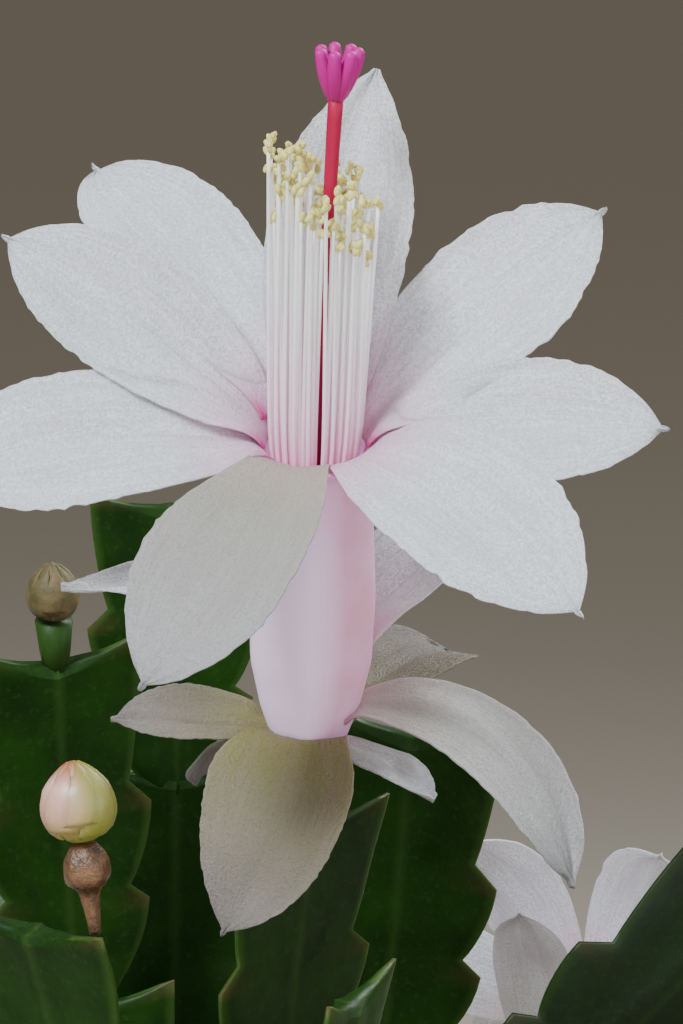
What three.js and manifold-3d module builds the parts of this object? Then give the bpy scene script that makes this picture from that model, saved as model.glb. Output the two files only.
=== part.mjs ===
// A potted Christmas cactus in bloom, in millimetres, +Z up, standing on the base of its pot.
// The stems are chains of flat, toothed segments. White two-tiered flowers and round buds sit on their tips.
import * as THREE from "three";
import { mergeVertices } from "three/addons/utils/BufferGeometryUtils.js";
import Module from "manifold-3d";

const wasm = await Module();
wasm.setup();

const GAP = 0.3; // left between pieces that touch
const SMOOTHING = 0.1; // slivers thinner than this are cleared after a join

// Pot: a plain clay pot with a collar rim and three drain holes round a solid centre
const POT = {
  height: 108,
  baseRadius: 43,
  neckRadius: 57,
  rimRadius: 65,
  rimHeight: 24,
  wall: 5,
  floor: 7,
  lip: 1.5,
  corner: 3, // between wall and floor, inside
  kneeDrop: 4, // where the wall starts to widen to the rim, below the collar
  kneeOut: 2,
  holes: 3,
  holeRadius: 5,
  holeCircle: 20,
  holeSides: 12,
  sides: 36,
};

// Where the pot's inner wall starts to widen to the rim
const KNEE = {
  height: POT.height - POT.rimHeight - POT.kneeDrop,
  radius: POT.neckRadius - POT.wall + POT.kneeOut,
};

// Soil: fills the pot to just under the rim, and rises a little towards the middle
const SOIL = { top: 98, mound: 3, bump: 1.3, rings: 3, sides: 24, wallGap: GAP * 1.5 };
// Collar: the foot of a stem, which stands in a plain hole in the soil
const COLLAR = { radius: 3.1, taper: 0.8, rise: 2.5, depth: 14, sides: 6, drill: 40 };

// Stem segments. tipShare is how far up the middle of the tip reaches between its two horns.
const SEGMENT = {
  width: 21,
  narrowest: 0.88, // widths vary by this much and spread on top
  spread: 0.24,
  midrib: 2.8,
  edge: 0.9,
  endTaper: 0.75,
  cup: 0.1,
  bend: 10,
  bendSteps: 6,
  sink: 1.6,
  tipShare: 0.965,
  lastRow: 0.936,
};
// The lowest segment of a stem is woody: narrower, thicker and without teeth
const WOODY = { width: 0.72, thick: 1.6 };
// Margin of a segment: share of the length, share of the half width; three teeth a side
const MARGIN = [
  [0, 0.2],
  [0.31, 0.98],
  [0.35, 0.76],
  [0.57, 1.06],
  [0.63, 0.8],
  [1.03, 1.0],
  [0.99, 0.56],
];
const WOODY_MARGIN = [
  [0, 0.2],
  [0.6, 0.62],
  [1, 0.42],
];

// Flower: tube profile as [height, radius], and what stands in it
const TUBE = [
  [0, 3.3],
  [2, 4.0],
  [5, 5.0],
  [9.6, 6.0],
  [16, 6.2],
  [24, 5.8],
  [30.6, 5.4],
];
// The tube's mouth rises by slope to the back and falls by dip to the front
const MOUTH = { height: 30.6, slope: 3.5, dip: 0.6, wall: 0.65, waist: 22, floor: 8, sides: 14 };
const CROWN = 31; // where the upper tepals leave the tube
// Tepals leave the tube at rise times their first angle, and reach it within bend of their length
const TEPAL = {
  thickness: 0.7,
  inset: 0.4,
  cup: 0.2,
  taper: 2.2,
  tip: 0.3,
  rise: 0.3,
  bend: 0.09,
  twist: 0.18, // share of the length over which its face turns
  steps: 7,
  columns: 4,
  substeps: 6,
};
const PLAIN_TEPAL = { steps: 5, columns: 2 };
const SMALL_TEPAL = { steps: 4, columns: 2 };
// Ovary: its length below the flower, and its radius from the stem upwards
const OVARY = { length: 9.5, sunk: 1.5, levels: [0.75, 0.3], radii: [1.4, 2, 2.85, 3.1], sides: 6 };
// Filaments stand in a ring on a disc; slant makes those on the left taller
const FILAMENT = {
  radius: 0.36,
  inner: 2.0,
  outer: 4.15,
  foot: 8.3,
  disc: 1.6,
  discSides: 14,
  gathered: 0.92, // the ring is this much narrower at its foot
  spread: 1.34,
  uneven: 0.2, // share of the spread by which filaments differ
  knee: 36, // height where the sheaf has widened sideways by flare
  flare: 1.18,
  low: 53,
  high: 60,
  slant: 0.6,
  turn: 137.508, // degrees from one filament to the next, which spreads them evenly
  sides: 3,
};
const ANTHER = { radius: 0.62, length: 1.7, tip: 0.25, lean: 1.06 };
const STYLE = { foot: 9, end: 66.3, thin: 0.45, thick: 0.75, lean: [1.2, 0.8], sides: 6, lap: 0.6 };
const STYLE_SHARES = [0, 0.35, 0.6, 0.8, 1];
// Stigma: share of its length, share of its radius
const STIGMA = { length: 4.9, radius: 2.15, depth: 0.14 };
const STIGMA_PROFILE = [
  [0, 0.42],
  [0.2, 0.5],
  [0.5, 0.76],
  [0.85, 0.98],
  [1, 0.84],
];
// Bud: share of its length, share of its radius
const BUD = { ridges: 3, depth: 0.05, twist: 5, sides: 9 };
const BUD_PROFILE = [
  [0, 0.42],
  [0.14, 0.82],
  [0.4, 1],
  [0.68, 0.86],
  [0.9, 0.45],
  [1, 0.14],
];
// Neck: the short green foot of a bud that sits straight on its stem
const NECK = { reach: 5.3, sunk: 1.5, radii: [1.2, 1.7, 2.1] };
// Dry stalk under the front bud: distance up it, radius; the fat part is a dry ball
const DRY_STALK = [
  [0.7, 0.55],
  [3.2, 0.8],
  [5, 1.1],
  [6, 2.1],
  [8, 2.2],
  [9.8, 1.2],
];
const DRY_STALK_SIDES = 10;

// The front bud's place off the middle of its stem's tip, its size and its sideways lean
const FRONT_BUD = { across: 8.2, up: 0.7, length: 7.8, radius: 3.4, lean: -0.12 };
// How many filaments and stigma lobes a flower has
const LARGE_COUNTS = { filaments: 28, lobes: 7 };
const SMALL_COUNTS = { filaments: 10, lobes: 5 };

const rad = THREE.MathUtils.degToRad;

// Rise of the mouth over its middle height, for a share of the way to its back
function mouthLift(back) {
  return back * (back > 0 ? MOUTH.slope : MOUTH.dip);
}

function crownHeight(az) {
  return CROWN + mouthLift(Math.sin(rad(az)));
}

// Tepals of the large flower. az is the bearing round the flower, 0 to its right and 90 to its back.
// from and to are the angles off the flower's axis at root and tip, early bends it nearer the root,
// side bends it sideways, and turn and more turn its face round its own length.
const UPPER = [
  { az: 84, from: 12, to: 12, length: 33.2, width: 14, root: 0.6, widest: 0.5, point: 0.9, side: -0.12 },
  { az: 132, from: 48, to: 70, length: 35, width: 15, widest: 0.6, point: 0.55, turn: 10, more: 10 },
  { az: 168, from: 50, to: 63, length: 32, width: 14, turn: 25, more: 35 },
  { az: 193, from: 78, to: 108, length: 33, width: 14, widest: 0.6, turn: 35, more: 20 },
  { az: 18, from: 45, to: 54, length: 32, width: 14.5, turn: -30, more: -20 },
  { az: 348, from: 70, to: 91, length: 30, width: 12.6, turn: -35, more: -30 },
  { az: 250, from: 103, to: 143, length: 30, width: 15.5, side: -0.2 },
  { az: 312, from: 80, to: 116, early: 1.4, length: 33.5, width: 15, turn: -30, more: -10 },
].map((t) => ({ height: crownHeight(t.az), ...t }));
const MIDDLE = [
  { az: 190, height: 15.9, from: 80, to: 92, length: 19, width: 6.5, turn: 5 },
  { az: 40, height: 9, from: 40, to: 80, length: 22, width: 12 },
  { az: 98, height: 13, from: 55, to: 95, length: 21, width: 10 },
];
const LOWER = [
  { az: 190, height: 1.5, from: 75, to: 94, length: 16.5, width: 7.5, turn: 25 },
  {
    az: 258,
    height: 1.5,
    from: 110,
    to: 162,
    early: 2,
    length: 22,
    width: 14.5,
    root: 0.55,
    widest: 0.32,
    point: 0.8,
    side: -0.22,
  },
  { az: 322, height: 0.8, from: 90, to: 112, length: 13, width: 5.5 },
  { az: 350, height: 3, from: 70, to: 165, early: 1.3, length: 32.5, width: 9.5, turn: -20, more: -20 },
  { az: 46, height: 1.5, from: 58, to: 105, length: 18, width: 13, widest: 0.68, point: 0.3 },
  { az: 158, height: 1, from: 108, to: 155, length: 12.5, width: 9.5 },
];
// The smaller flowers are drawn by a rule: even tiers, with the back tepals held more upright
const SMALL = [
  ...Array.from({ length: 7 }, (_, i) => {
    const az = 90 + (360 / 7) * i;
    const back = Math.sin(rad(az));
    return { az, height: crownHeight(az), from: 62 - 30 * back, to: 95 - 50 * back, length: 29, width: 13 };
  }),
  ...Array.from({ length: 5 }, (_, i) => ({
    az: 54 + 72 * i,
    height: 2.5,
    from: 75,
    to: 135,
    length: 21 + 4 * (i % 2),
    width: 10,
  })),
].map((t) => ({ ...t, detail: SMALL_TEPAL }));

const vec = (x, y, z) => new THREE.Vector3(x, y, z);

// A repeatable share from 0 to 1 for a whole number
function draw(n) {
  const s = Math.sin(n * 12.9898 + 4.1) * 43758.5453;
  return s - Math.floor(s);
}

// A closed surface from points and triangles as a solid, turned to face out
function solidFrom(points, triangles) {
  const vertProperties = new Float32Array(points.flatMap((p) => [p.x, p.y, p.z]));
  let triVerts = new Uint32Array(triangles.flat());
  let made = new wasm.Manifold(new wasm.Mesh({ numProp: 3, vertProperties, triVerts }));
  if (made.volume() < 0) {
    triVerts = new Uint32Array(triangles.flatMap(([a, b, c]) => [a, c, b]));
    made = new wasm.Manifold(new wasm.Mesh({ numProp: 3, vertProperties, triVerts }));
  }
  return made;
}

// A three.js geometry as a solid
function solidOf(geometry) {
  const g = geometry.clone();
  g.deleteAttribute("normal");
  g.deleteAttribute("uv");
  const merged = mergeVertices(g, 1e-4);
  const p = merged.attributes.position;
  const points = Array.from({ length: p.count }, (_, i) => vec(p.getX(i), p.getY(i), p.getZ(i)));
  const index = Array.from(merged.index.array);
  const triangles = [];
  for (let i = 0; i < index.length; i += 3) {
    const t = index.slice(i, i + 3);
    if (new Set(t).size === 3) triangles.push(t);
  }
  return solidFrom(points, triangles);
}

function geometryOf(solid) {
  const m = solid.getMesh();
  const positions = new Float32Array(m.numVert * 3);
  for (let i = 0; i < m.numVert; i++)
    positions.set(m.vertProperties.subarray(i * m.numProp, i * m.numProp + 3), i * 3);
  const g = new THREE.BufferGeometry();
  g.setAttribute("position", new THREE.BufferAttribute(positions, 3));
  g.setIndex(new THREE.BufferAttribute(new Uint32Array(m.triVerts), 1));
  g.computeVertexNormals();
  return g;
}

// The largest body of a solid: a scrap that a join leaves loose is dropped
function mainBody(solid) {
  return solid.decompose().sort((a, b) => b.volume() - a.volume())[0];
}

const union = (solids) => mainBody(wasm.Manifold.union(solids)).simplify(SMOOTHING);

// Two facing grids of points, split into triangles alike, closed by a rim
function sheetSolid(front, back) {
  const rows = front.length;
  const columns = front[0].length;
  const points = [...front.flat(), ...back.flat()];
  const at = (side, i, j) => side * rows * columns + i * columns + j;
  const triangles = [];
  for (let i = 0; i < rows - 1; i++)
    for (let j = 0; j < columns - 1; j++)
      for (const side of [0, 1]) {
        const [a, b, c, d] = [at(side, i, j), at(side, i + 1, j), at(side, i + 1, j + 1), at(side, i, j + 1)];
        triangles.push(side ? [a, c, b] : [a, b, c], side ? [a, d, c] : [a, c, d]);
      }
  const rim = [];
  for (let j = 0; j < columns - 1; j++) rim.push([0, j]);
  for (let i = 0; i < rows - 1; i++) rim.push([i, columns - 1]);
  for (let j = columns - 1; j > 0; j--) rim.push([rows - 1, j]);
  for (let i = rows - 1; i > 0; i--) rim.push([i, 0]);
  rim.forEach(([i, j], k) => {
    const [m, n] = rim[(k + 1) % rim.length];
    const [a, b, c, d] = [at(0, i, j), at(0, m, n), at(1, m, n), at(1, i, j)];
    triangles.push([a, b, c], [a, c, d]);
  });
  return solidFrom(points, triangles);
}

// Rings of points, each joined to the next, with a fan over each end
function loftSolid(rings) {
  const sides = rings[0].length;
  const middle = (ring) => ring.reduce((s, p) => s.add(p), vec(0, 0, 0)).divideScalar(sides);
  const points = [...rings.flat(), middle(rings[0]), middle(rings[rings.length - 1])];
  const [low, high] = [points.length - 2, points.length - 1];
  const last = (rings.length - 1) * sides;
  const triangles = [];
  for (let k = 0; k < sides; k++) {
    const next = (k + 1) % sides;
    for (let i = 0; i < rings.length - 1; i++) {
      const [a, b, c, d] = [i * sides + k, i * sides + next, (i + 1) * sides + next, (i + 1) * sides + k];
      triangles.push([a, b, c], [a, c, d]);
    }
    triangles.push([low, next, k], [high, last + k, last + next]);
  }
  return solidFrom(points, triangles);
}

// A round rod along points, with a radius at each
function rodSolid(path, radii, sides, wave = () => 1) {
  const rings = path.map((p, i) => {
    const along = path[Math.min(i + 1, path.length - 1)].clone().sub(path[Math.max(i - 1, 0)]).normalize();
    const across = vec(0, 1, 0).cross(along).normalize();
    const up = along.clone().cross(across);
    return Array.from({ length: sides }, (_, k) => {
      const a = (2 * Math.PI * k) / sides;
      const r = radii[i] * wave(a, i / (path.length - 1));
      return p.clone().addScaledVector(across, r * Math.cos(a)).addScaledVector(up, r * Math.sin(a));
    });
  });
  return loftSolid(rings);
}

function potSolid() {
  const { height, baseRadius, neckRadius, rimRadius, rimHeight, wall, floor, lip, corner } = POT;
  const profile = [
    [0, 0],
    [baseRadius - lip, 0],
    [baseRadius, lip],
    [neckRadius, height - rimHeight],
    [rimRadius, height - rimHeight],
    [rimRadius, height - lip],
    [rimRadius - lip, height],
    [rimRadius - wall - lip * 2, height],
    [KNEE.radius, KNEE.height],
    [baseRadius - wall, floor + corner],
    [baseRadius - wall - corner, floor],
    [0, floor],
  ].map(([r, z]) => new THREE.Vector2(r, z));
  const body = solidOf(new THREE.LatheGeometry(profile, POT.sides).rotateX(Math.PI / 2));
  const { holeRadius, holeSides } = POT;
  const drill = new THREE.CylinderGeometry(holeRadius, holeRadius, floor * 4, holeSides).rotateX(Math.PI / 2);
  const holes = Array.from({ length: POT.holes }, (_, i) => {
    const a = (2 * Math.PI * i) / POT.holes + Math.PI / 2;
    return solidOf(drill.clone().translate(POT.holeCircle * Math.cos(a), POT.holeCircle * Math.sin(a), 0));
  });
  return holes.reduce((solid, hole) => solid.subtract(hole), body);
}

// Inner radius of the pot at a height above the floor's corner
function potInner(z) {
  const { height, baseRadius, rimRadius, wall, floor, lip, corner } = POT;
  const [z0, r0, z1, r1] =
    z < KNEE.height
      ? [floor + corner, baseRadius - wall, KNEE.height, KNEE.radius]
      : [KNEE.height, KNEE.radius, height, rimRadius - wall - lip * 2];
  return r0 + ((r1 - r0) * (z - z0)) / (z1 - z0);
}

function soilSolid(roots) {
  const wallRing = (z) => [potInner(z) - SOIL.wallGap, z];
  const corner = POT.floor + POT.corner;
  const side = [
    [potInner(corner) - POT.corner - SOIL.wallGap, POT.floor + GAP],
    wallRing(corner + GAP),
    wallRing(KNEE.height),
    wallRing(SOIL.top),
  ];
  const edge = side[side.length - 1][0];
  const top = Array.from({ length: SOIL.rings - 1 }, (_, i) => {
    const share = 1 - (i + 1) / SOIL.rings;
    return [edge * share, SOIL.top + SOIL.mound * (1 - share * share), i + 1];
  });
  const rings = [...side, ...top].map(([r, z, bumpy]) =>
    Array.from({ length: SOIL.sides }, (_, k) => {
      const a = (2 * Math.PI * k) / SOIL.sides;
      const bump = bumpy ? SOIL.bump * (draw(bumpy * 97 + k) - 0.5) : 0;
      return vec(r * Math.cos(a), r * Math.sin(a), z + bump);
    }),
  );
  const radius = (COLLAR.radius + GAP) / Math.cos(Math.PI / COLLAR.sides);
  const hole = new THREE.CylinderGeometry(radius, radius, COLLAR.drill, COLLAR.sides).rotateX(Math.PI / 2);
  const middle = SOIL.top - COLLAR.depth + COLLAR.drill / 2;
  return roots.reduce(
    (solid, p) => solid.subtract(solidOf(hole.clone().translate(p.x, p.y, middle))),
    loftSolid(rings),
  );
}

// Stem growth: a frame is a point, the way the stem runs (along), its width (across) and its face
function startFrame(point, heading, pitch) {
  const [h, p] = [rad(heading), rad(pitch)];
  const along = vec(Math.sin(p) * Math.cos(h), Math.sin(p) * Math.sin(h), Math.cos(p));
  const across = vec(-Math.sin(h), Math.cos(h), 0);
  return { point, along, across, face: across.clone().cross(along) };
}

function turned(frame, axis, degrees) {
  const q = new THREE.Quaternion().setFromAxisAngle(axis, rad(degrees));
  const spun = (v) => v.clone().applyQuaternion(q);
  return { point: frame.point, along: spun(frame.along), across: spun(frame.across), face: spun(frame.face) };
}

// The frame a share of the way up a segment that bends evenly by bend degrees
function alongSegment(frame, length, bend, share) {
  const steps = SEGMENT.bendSteps;
  let f = frame;
  for (let i = 0; i < steps; i++) {
    f = turned(f, f.across, (bend * share) / steps);
    f = { ...f, point: f.point.clone().addScaledVector(f.along, (length * share) / steps) };
  }
  return f;
}

// One flat toothed segment of a stem
function segmentSolid(frame, length, width, bend, woody) {
  const margin = woody ? WOODY_MARGIN : MARGIN;
  const thick = woody ? WOODY.thick : 1;
  const front = [];
  const back = [];
  margin.forEach(([share, half], i) => {
    const end = i === margin.length - 1;
    const middleShare = end ? SEGMENT.tipShare : Math.min(share, SEGMENT.lastRow);
    const middle = alongSegment(frame, length, bend, middleShare);
    const edge = alongSegment(frame, length, bend, share);
    const taper = i === 0 || end ? SEGMENT.endTaper : 1;
    const rows = [-1, 0, 1].map((v) => {
      const f = v ? edge : middle;
      const h = (width / 2) * half;
      const t = ((v ? SEGMENT.edge : SEGMENT.midrib) / 2) * taper * thick;
      const lift = SEGMENT.cup * h * Math.abs(v);
      const p = f.point.clone().addScaledVector(f.across, h * v).addScaledVector(f.face, lift);
      return [p.clone().addScaledVector(f.face, t), p.clone().addScaledVector(f.face, -t)];
    });
    front.push(rows.map((r) => r[0]));
    back.push(rows.map((r) => r[1]));
  });
  return sheetSolid(front, back);
}

// Grows a chain of segments. Each row is [length, droop, turn, roll]; a fork holds chains of its own.
function growChain(frame, rows, solids, ends, level = 0) {
  let f = frame;
  rows.forEach((row, i) => {
    if (row.forks) {
      row.forks.forEach((fork) => growChain(f, fork, solids, ends, level + i));
      return;
    }
    const [length, droop = 0, turn = 0, roll = 0] = row;
    f = turned(f, f.across, droop);
    f = turned(f, f.face, turn);
    f = turned(f, f.along, roll);
    const woody = level + i === 0;
    const varied = SEGMENT.narrowest + SEGMENT.spread * draw(solids.length * 7 + Math.round(length * 10));
    const width = SEGMENT.width * (woody ? WOODY.width : varied);
    const bend = woody ? 0 : SEGMENT.bend;
    const start = { ...f, point: f.point.clone().addScaledVector(f.along, -SEGMENT.sink) };
    solids.push(segmentSolid(start, length + SEGMENT.sink, width, bend, woody));
    f = alongSegment(start, length + SEGMENT.sink, bend, SEGMENT.tipShare);
    if (i === rows.length - 1) ends.push(f);
  });
}

// A whole stem: its segments, a collar that goes down into the soil, and where its tips are
function growStem({ root, tip, heading, pitch, rows }) {
  const trial = [];
  const first = (x, y, z) => startFrame(vec(x, y, z), heading, pitch);
  const height = root && root.length > 2 ? root[2] : SOIL.top + SOIL.mound;
  growChain(first(0, 0, 0), rows, [], trial);
  const foot = tip ? vec(...tip).sub(trial[0].point) : vec(root[0], root[1], height);
  const solids = [];
  const ends = [];
  growChain(first(foot.x, foot.y, foot.z), rows, solids, ends);
  const collar = [SOIL.top - COLLAR.depth + GAP, foot.z + COLLAR.rise].map((z) => vec(foot.x, foot.y, z));
  solids.push(rodSolid(collar, [COLLAR.radius, COLLAR.radius * COLLAR.taper], COLLAR.sides));
  return { foot, solids, ends };
}

// A tepal as a closed blade in the flower's frame, drawn along its middle line
function tepalSolid(t) {
  const { early = 1, root = 0.4, widest = 0.55, point = 0.75, side = 0, turn = 0, more = 0 } = t;
  const { steps, columns } = t.detail ?? TEPAL;
  const [out, aside, up] = [
    vec(Math.cos(rad(t.az)), Math.sin(rad(t.az)), 0),
    vec(-Math.sin(rad(t.az)), Math.cos(rad(t.az)), 0),
    vec(0, 0, 1),
  ];
  const opening = (u) => TEPAL.rise + (1 - TEPAL.rise) * Math.min(1, u / TEPAL.bend);
  const angle = (u) => rad(t.from + (t.to - t.from) * (1 - (1 - u) ** early)) * opening(u);
  const along = (u) => {
    const outward = out.clone().multiplyScalar(Math.sin(angle(u)));
    return outward.addScaledVector(up, Math.cos(angle(u))).addScaledVector(aside, 2 * side * u).normalize();
  };
  const half = (u) => {
    const rise = root + (1 - root) * Math.sin((Math.PI / 2) * Math.min(u / widest, 1));
    const fall = (1 - Math.max((u - widest) / (1 - widest), 0) ** TEPAL.taper) ** point;
    return Math.max(TEPAL.tip, (t.width / 2) * (u < widest ? rise : fall));
  };
  const p = out.clone().multiplyScalar(tubeRadius(t.height) - TEPAL.inset).addScaledVector(up, t.height);
  const front = [];
  const back = [];
  for (let i = 0; i <= steps; i++) {
    const u = i / steps;
    const a = along(u);
    const inner = out.clone().multiplyScalar(-Math.cos(angle(u))).addScaledVector(up, Math.sin(angle(u)));
    inner.addScaledVector(a, -inner.dot(a)).normalize();
    const twist = turn * Math.min(1, u / TEPAL.twist) + more * u;
    const q = new THREE.Quaternion().setFromAxisAngle(a, rad(-twist));
    const across = a.clone().cross(inner).applyQuaternion(q);
    inner.applyQuaternion(q);
    const rows = Array.from({ length: columns + 1 }, (_, j) => {
      const v = (2 * j) / columns - 1;
      const lift = half(u) * TEPAL.cup * v * v;
      const c = p.clone().addScaledVector(across, half(u) * v).addScaledVector(inner, lift);
      return [1, -1].map((face) => c.clone().addScaledVector(inner, (face * TEPAL.thickness) / 2));
    });
    front.push(rows.map((r) => r[0]));
    back.push(rows.map((r) => r[1]));
    for (let k = 0; k < TEPAL.substeps; k++)
      p.addScaledVector(along(u + k / TEPAL.substeps / steps), t.length / steps / TEPAL.substeps);
  }
  return sheetSolid(front, back);
}

function tubeRadius(z) {
  const i = TUBE.findIndex(([height]) => height >= z);
  if (i < 0) return TUBE[TUBE.length - 1][1];
  if (i === 0) return TUBE[0][1];
  const [[z0, r0], [z1, r1]] = [TUBE[i - 1], TUBE[i]];
  return r0 + ((r1 - r0) * (z - z0)) / (z1 - z0);
}

// The tube is a deep cup whose mouth is higher at the back
function tubeSolid() {
  const outer = TUBE.map(([z, r]) => [r, z]);
  const inner = [MOUTH.height, MOUTH.waist, MOUTH.floor].map((z) => [tubeRadius(z) - MOUTH.wall, z]);
  const profile = [[0, 0], ...outer, ...inner, [0, MOUTH.floor]].map(([r, z]) => new THREE.Vector2(r, z));
  const lathe = new THREE.LatheGeometry(profile, MOUTH.sides).rotateX(Math.PI / 2);
  const at = lathe.attributes.position;
  for (let i = 0; i < at.count; i++) {
    const share = Math.max(0, at.getZ(i) - MOUTH.floor) / (MOUTH.height - MOUTH.floor);
    at.setZ(i, at.getZ(i) + share * mouthLift(at.getY(i) / tubeRadius(MOUTH.height)));
  }
  return solidOf(lathe);
}

// Filaments spread evenly over a ring round the style, each ending in an anther
function stamenSolid(count) {
  const rods = Array.from({ length: count }, (_, i) => {
    const { inner, outer, radius, low, high, slant, spread } = FILAMENT;
    const share = (i + 0.5) / count;
    const r = Math.sqrt(inner ** 2 + (outer ** 2 - inner ** 2) * share) - radius;
    const a = rad(FILAMENT.turn * i);
    const top = low + (high - low) * draw(i + 11) - slant * r * Math.cos(a);
    const wide = 1 + (spread - 1) * (1 + FILAMENT.uneven * (2 * draw(i + 51) - 1));
    const place = (z, s, flare = 1) => vec(r * s * flare * Math.cos(a), r * s * Math.sin(a), z);
    const path = [
      place(FILAMENT.foot + FILAMENT.disc / 4, FILAMENT.gathered),
      place(MOUTH.height - MOUTH.slope, 1),
      place(FILAMENT.knee, 1, FILAMENT.flare),
      place(top, wide),
      place(top + ANTHER.length / 2, (wide * (1 + ANTHER.lean)) / 2),
      place(top + ANTHER.length, wide * ANTHER.lean),
    ];
    return rodSolid(path, [radius, radius, radius, radius, ANTHER.radius, ANTHER.tip], FILAMENT.sides);
  });
  const [hole, low, high] = [STYLE.thin + GAP * 2, FILAMENT.foot, FILAMENT.foot + FILAMENT.disc];
  const profile = [
    [hole, low],
    [FILAMENT.outer, low],
    [FILAMENT.outer, high],
    [hole, high],
    [hole, low],
  ].map(([r, z]) => new THREE.Vector2(r, z));
  const disc = new THREE.LatheGeometry(profile, FILAMENT.discSides).rotateX(Math.PI / 2);
  return union([solidOf(disc), ...rods]);
}

// The style and, at its top, the stigma with its upright lobes
function pistilSolid(lobes) {
  const at = (z) => {
    const share = (z - STYLE.foot) / (STYLE.end - STYLE.foot);
    return vec(STYLE.lean[0] * share ** 2, STYLE.lean[1] * share ** 2, z);
  };
  const heights = STYLE_SHARES.map((s) => STYLE.foot + (STYLE.end + STYLE.lap - STYLE.foot) * s);
  const radii = heights.map((z) => STYLE.thin + (STYLE.thick - STYLE.thin) * (z / STYLE.end) ** 3);
  const style = rodSolid(heights.map(at), radii, STYLE.sides);
  const head = rodSolid(
    STIGMA_PROFILE.map(([s]) => at(STYLE.end + STIGMA.length * s)),
    STIGMA_PROFILE.map(([, r]) => STIGMA.radius * r),
    lobes * 3,
    (a, share) => 1 + STIGMA.depth * share * Math.cos(lobes * a),
  );
  return union([style, head]);
}

// Green ovary that joins a flower or bud to the end of its stem
function ovarySolid(base, axis) {
  const { length, sunk, levels, radii, sides } = OVARY;
  const depths = [length + sunk, ...levels.map((s) => length * s), GAP];
  const path = depths.map((s) => base.clone().addScaledVector(axis, -s));
  return rodSolid(path, radii, sides);
}

// Axes of a flower: z along its axis, y to its back, x to its right
function flowerAxes(axis, backward) {
  const z = axis.clone().normalize();
  const y = backward.clone().addScaledVector(z, -backward.dot(z)).normalize();
  return { x: y.clone().cross(z), y, z };
}

// A bud: a plump drop of wrapped tepals, its scale edges raised as shallow ridges
function budSolid(base, axis, length, radius) {
  const path = BUD_PROFILE.map(([s]) => base.clone().addScaledVector(axis, GAP + length * s));
  const radii = BUD_PROFILE.map(([, r]) => r * radius);
  return rodSolid(path, radii, BUD.sides, (a, s) => 1 + BUD.depth * Math.sin(BUD.ridges * a + BUD.twist * s));
}

// The stems. Those seen in front of and round the large flower are placed by their tips.
const FLOWER_BASE = vec(0, -24, 206);
const FLOWER_AXIS = vec(Math.sin(rad(1.4)), -Math.sin(rad(12)), Math.cos(rad(12))).normalize();
const flowerTip = FLOWER_BASE.clone().addScaledVector(FLOWER_AXIS, -OVARY.length);

const STEMS = [
  {
    name: "stem_flower",
    tip: flowerTip.toArray(),
    heading: -90,
    pitch: 2,
    rows: [[28], [34, -4, 3, 16], [36, -2, -2, 32]],
  },
  {
    name: "stem_bud",
    tip: [-27, -33, 189.2],
    heading: -105,
    pitch: 4,
    rows: [[26], [32, 0, 4, -8], [34, 0, -3, -14]],
  },
  {
    name: "stem_behind",
    tip: [11, 9, 200.5],
    heading: -80,
    pitch: -4,
    rows: [[28], [36, 0, 3, -14], [40, 0, -10, -10]],
  },
  { name: "stem_front", tip: [4, -43, 184.5], heading: -18, pitch: -2, rows: [[26], [31, -4], [35, -4]] },
  {
    name: "stem_left",
    tip: [-28, 17, 207],
    heading: -95,
    pitch: -8,
    rows: [[30], [40, 2, 5, 10], [44, 4, 0, 10]],
  },
  {
    name: "stem_tall",
    tip: [-16, 34, 222],
    heading: -85,
    pitch: -8,
    rows: [[24], [34, 0, 3, 6], [34, -4, -3, -8], [34, -4, 2, 6]],
  },
  {
    name: "stem_right",
    tip: [44, -33, 192],
    heading: -8,
    pitch: -6,
    rows: [[22], [27], [27, 6], [36, 28, 0, 108]],
  },
  { name: "stem_flower_right", root: [30, 13], heading: 25, pitch: 12, rows: [[26], [34, 10], [34, 8, 6]] },
  { name: "stem_flower_back", root: [16, 39], heading: 74, pitch: 20, rows: [[22], [30, 26]] },
  {
    name: "stem_back",
    root: [-28, 32],
    heading: 125,
    pitch: 14,
    rows: [[28], [38, 12], { forks: [[[36, 8, 30]], [[34, 6, -30]]] }],
  },
];
// The outer stems arch over the rim all round, but for the place of the flower at the back
const OUTER = { places: 8, flower: 4, start: -112, radius: 46, height: SOIL.top + 1.5 };
// The outer stems differ by up to these many degrees
const OUTER_DRAWS = { bearing: 8, pitch: 24, morePitch: 6, turn: 8, roll: 16 };
for (let i = 0; i < OUTER.places; i++) {
  if (i === OUTER.flower) continue;
  const bearing = OUTER.start + (360 / OUTER.places) * i + OUTER_DRAWS.bearing * (draw(i + 3) - 0.5);
  const pitch = OUTER_DRAWS.pitch + OUTER_DRAWS.morePitch * draw(i + 23);
  const turn = OUTER_DRAWS.turn * (draw(i + 33) - 0.5);
  const roll = OUTER_DRAWS.roll * (draw(i + 43) - 0.5);
  const end = i % 2 ? { forks: [[[34, 20, 26]], [[32, 16, -27]]] } : [38, 22, turn, roll];
  const rows = [[24], [36, 22, turn, roll], end];
  const root = [OUTER.radius * Math.cos(rad(bearing)), OUTER.radius * Math.sin(rad(bearing)), OUTER.height];
  STEMS.push({ name: `stem_outer_${i < OUTER.flower ? i + 1 : i}`, root, heading: bearing, pitch, rows });
}

const MATERIALS = {
  clay: { color: 0xb4633f, roughness: 0.9 },
  soil: { color: 0x2c211a, roughness: 1 },
  stem: { color: 0x2c5a1e, roughness: 0.55 },
  petal: { color: 0xf3eff2, roughness: 0.5 },
  stamen: { color: 0xf4ead2, roughness: 0.5 },
  pistil: { color: 0xc4178c, roughness: 0.45 },
  bud: { color: 0xe6d9a8, roughness: 0.5 },
  stalk: { color: 0x8a5f3c, roughness: 0.8 },
};

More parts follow.
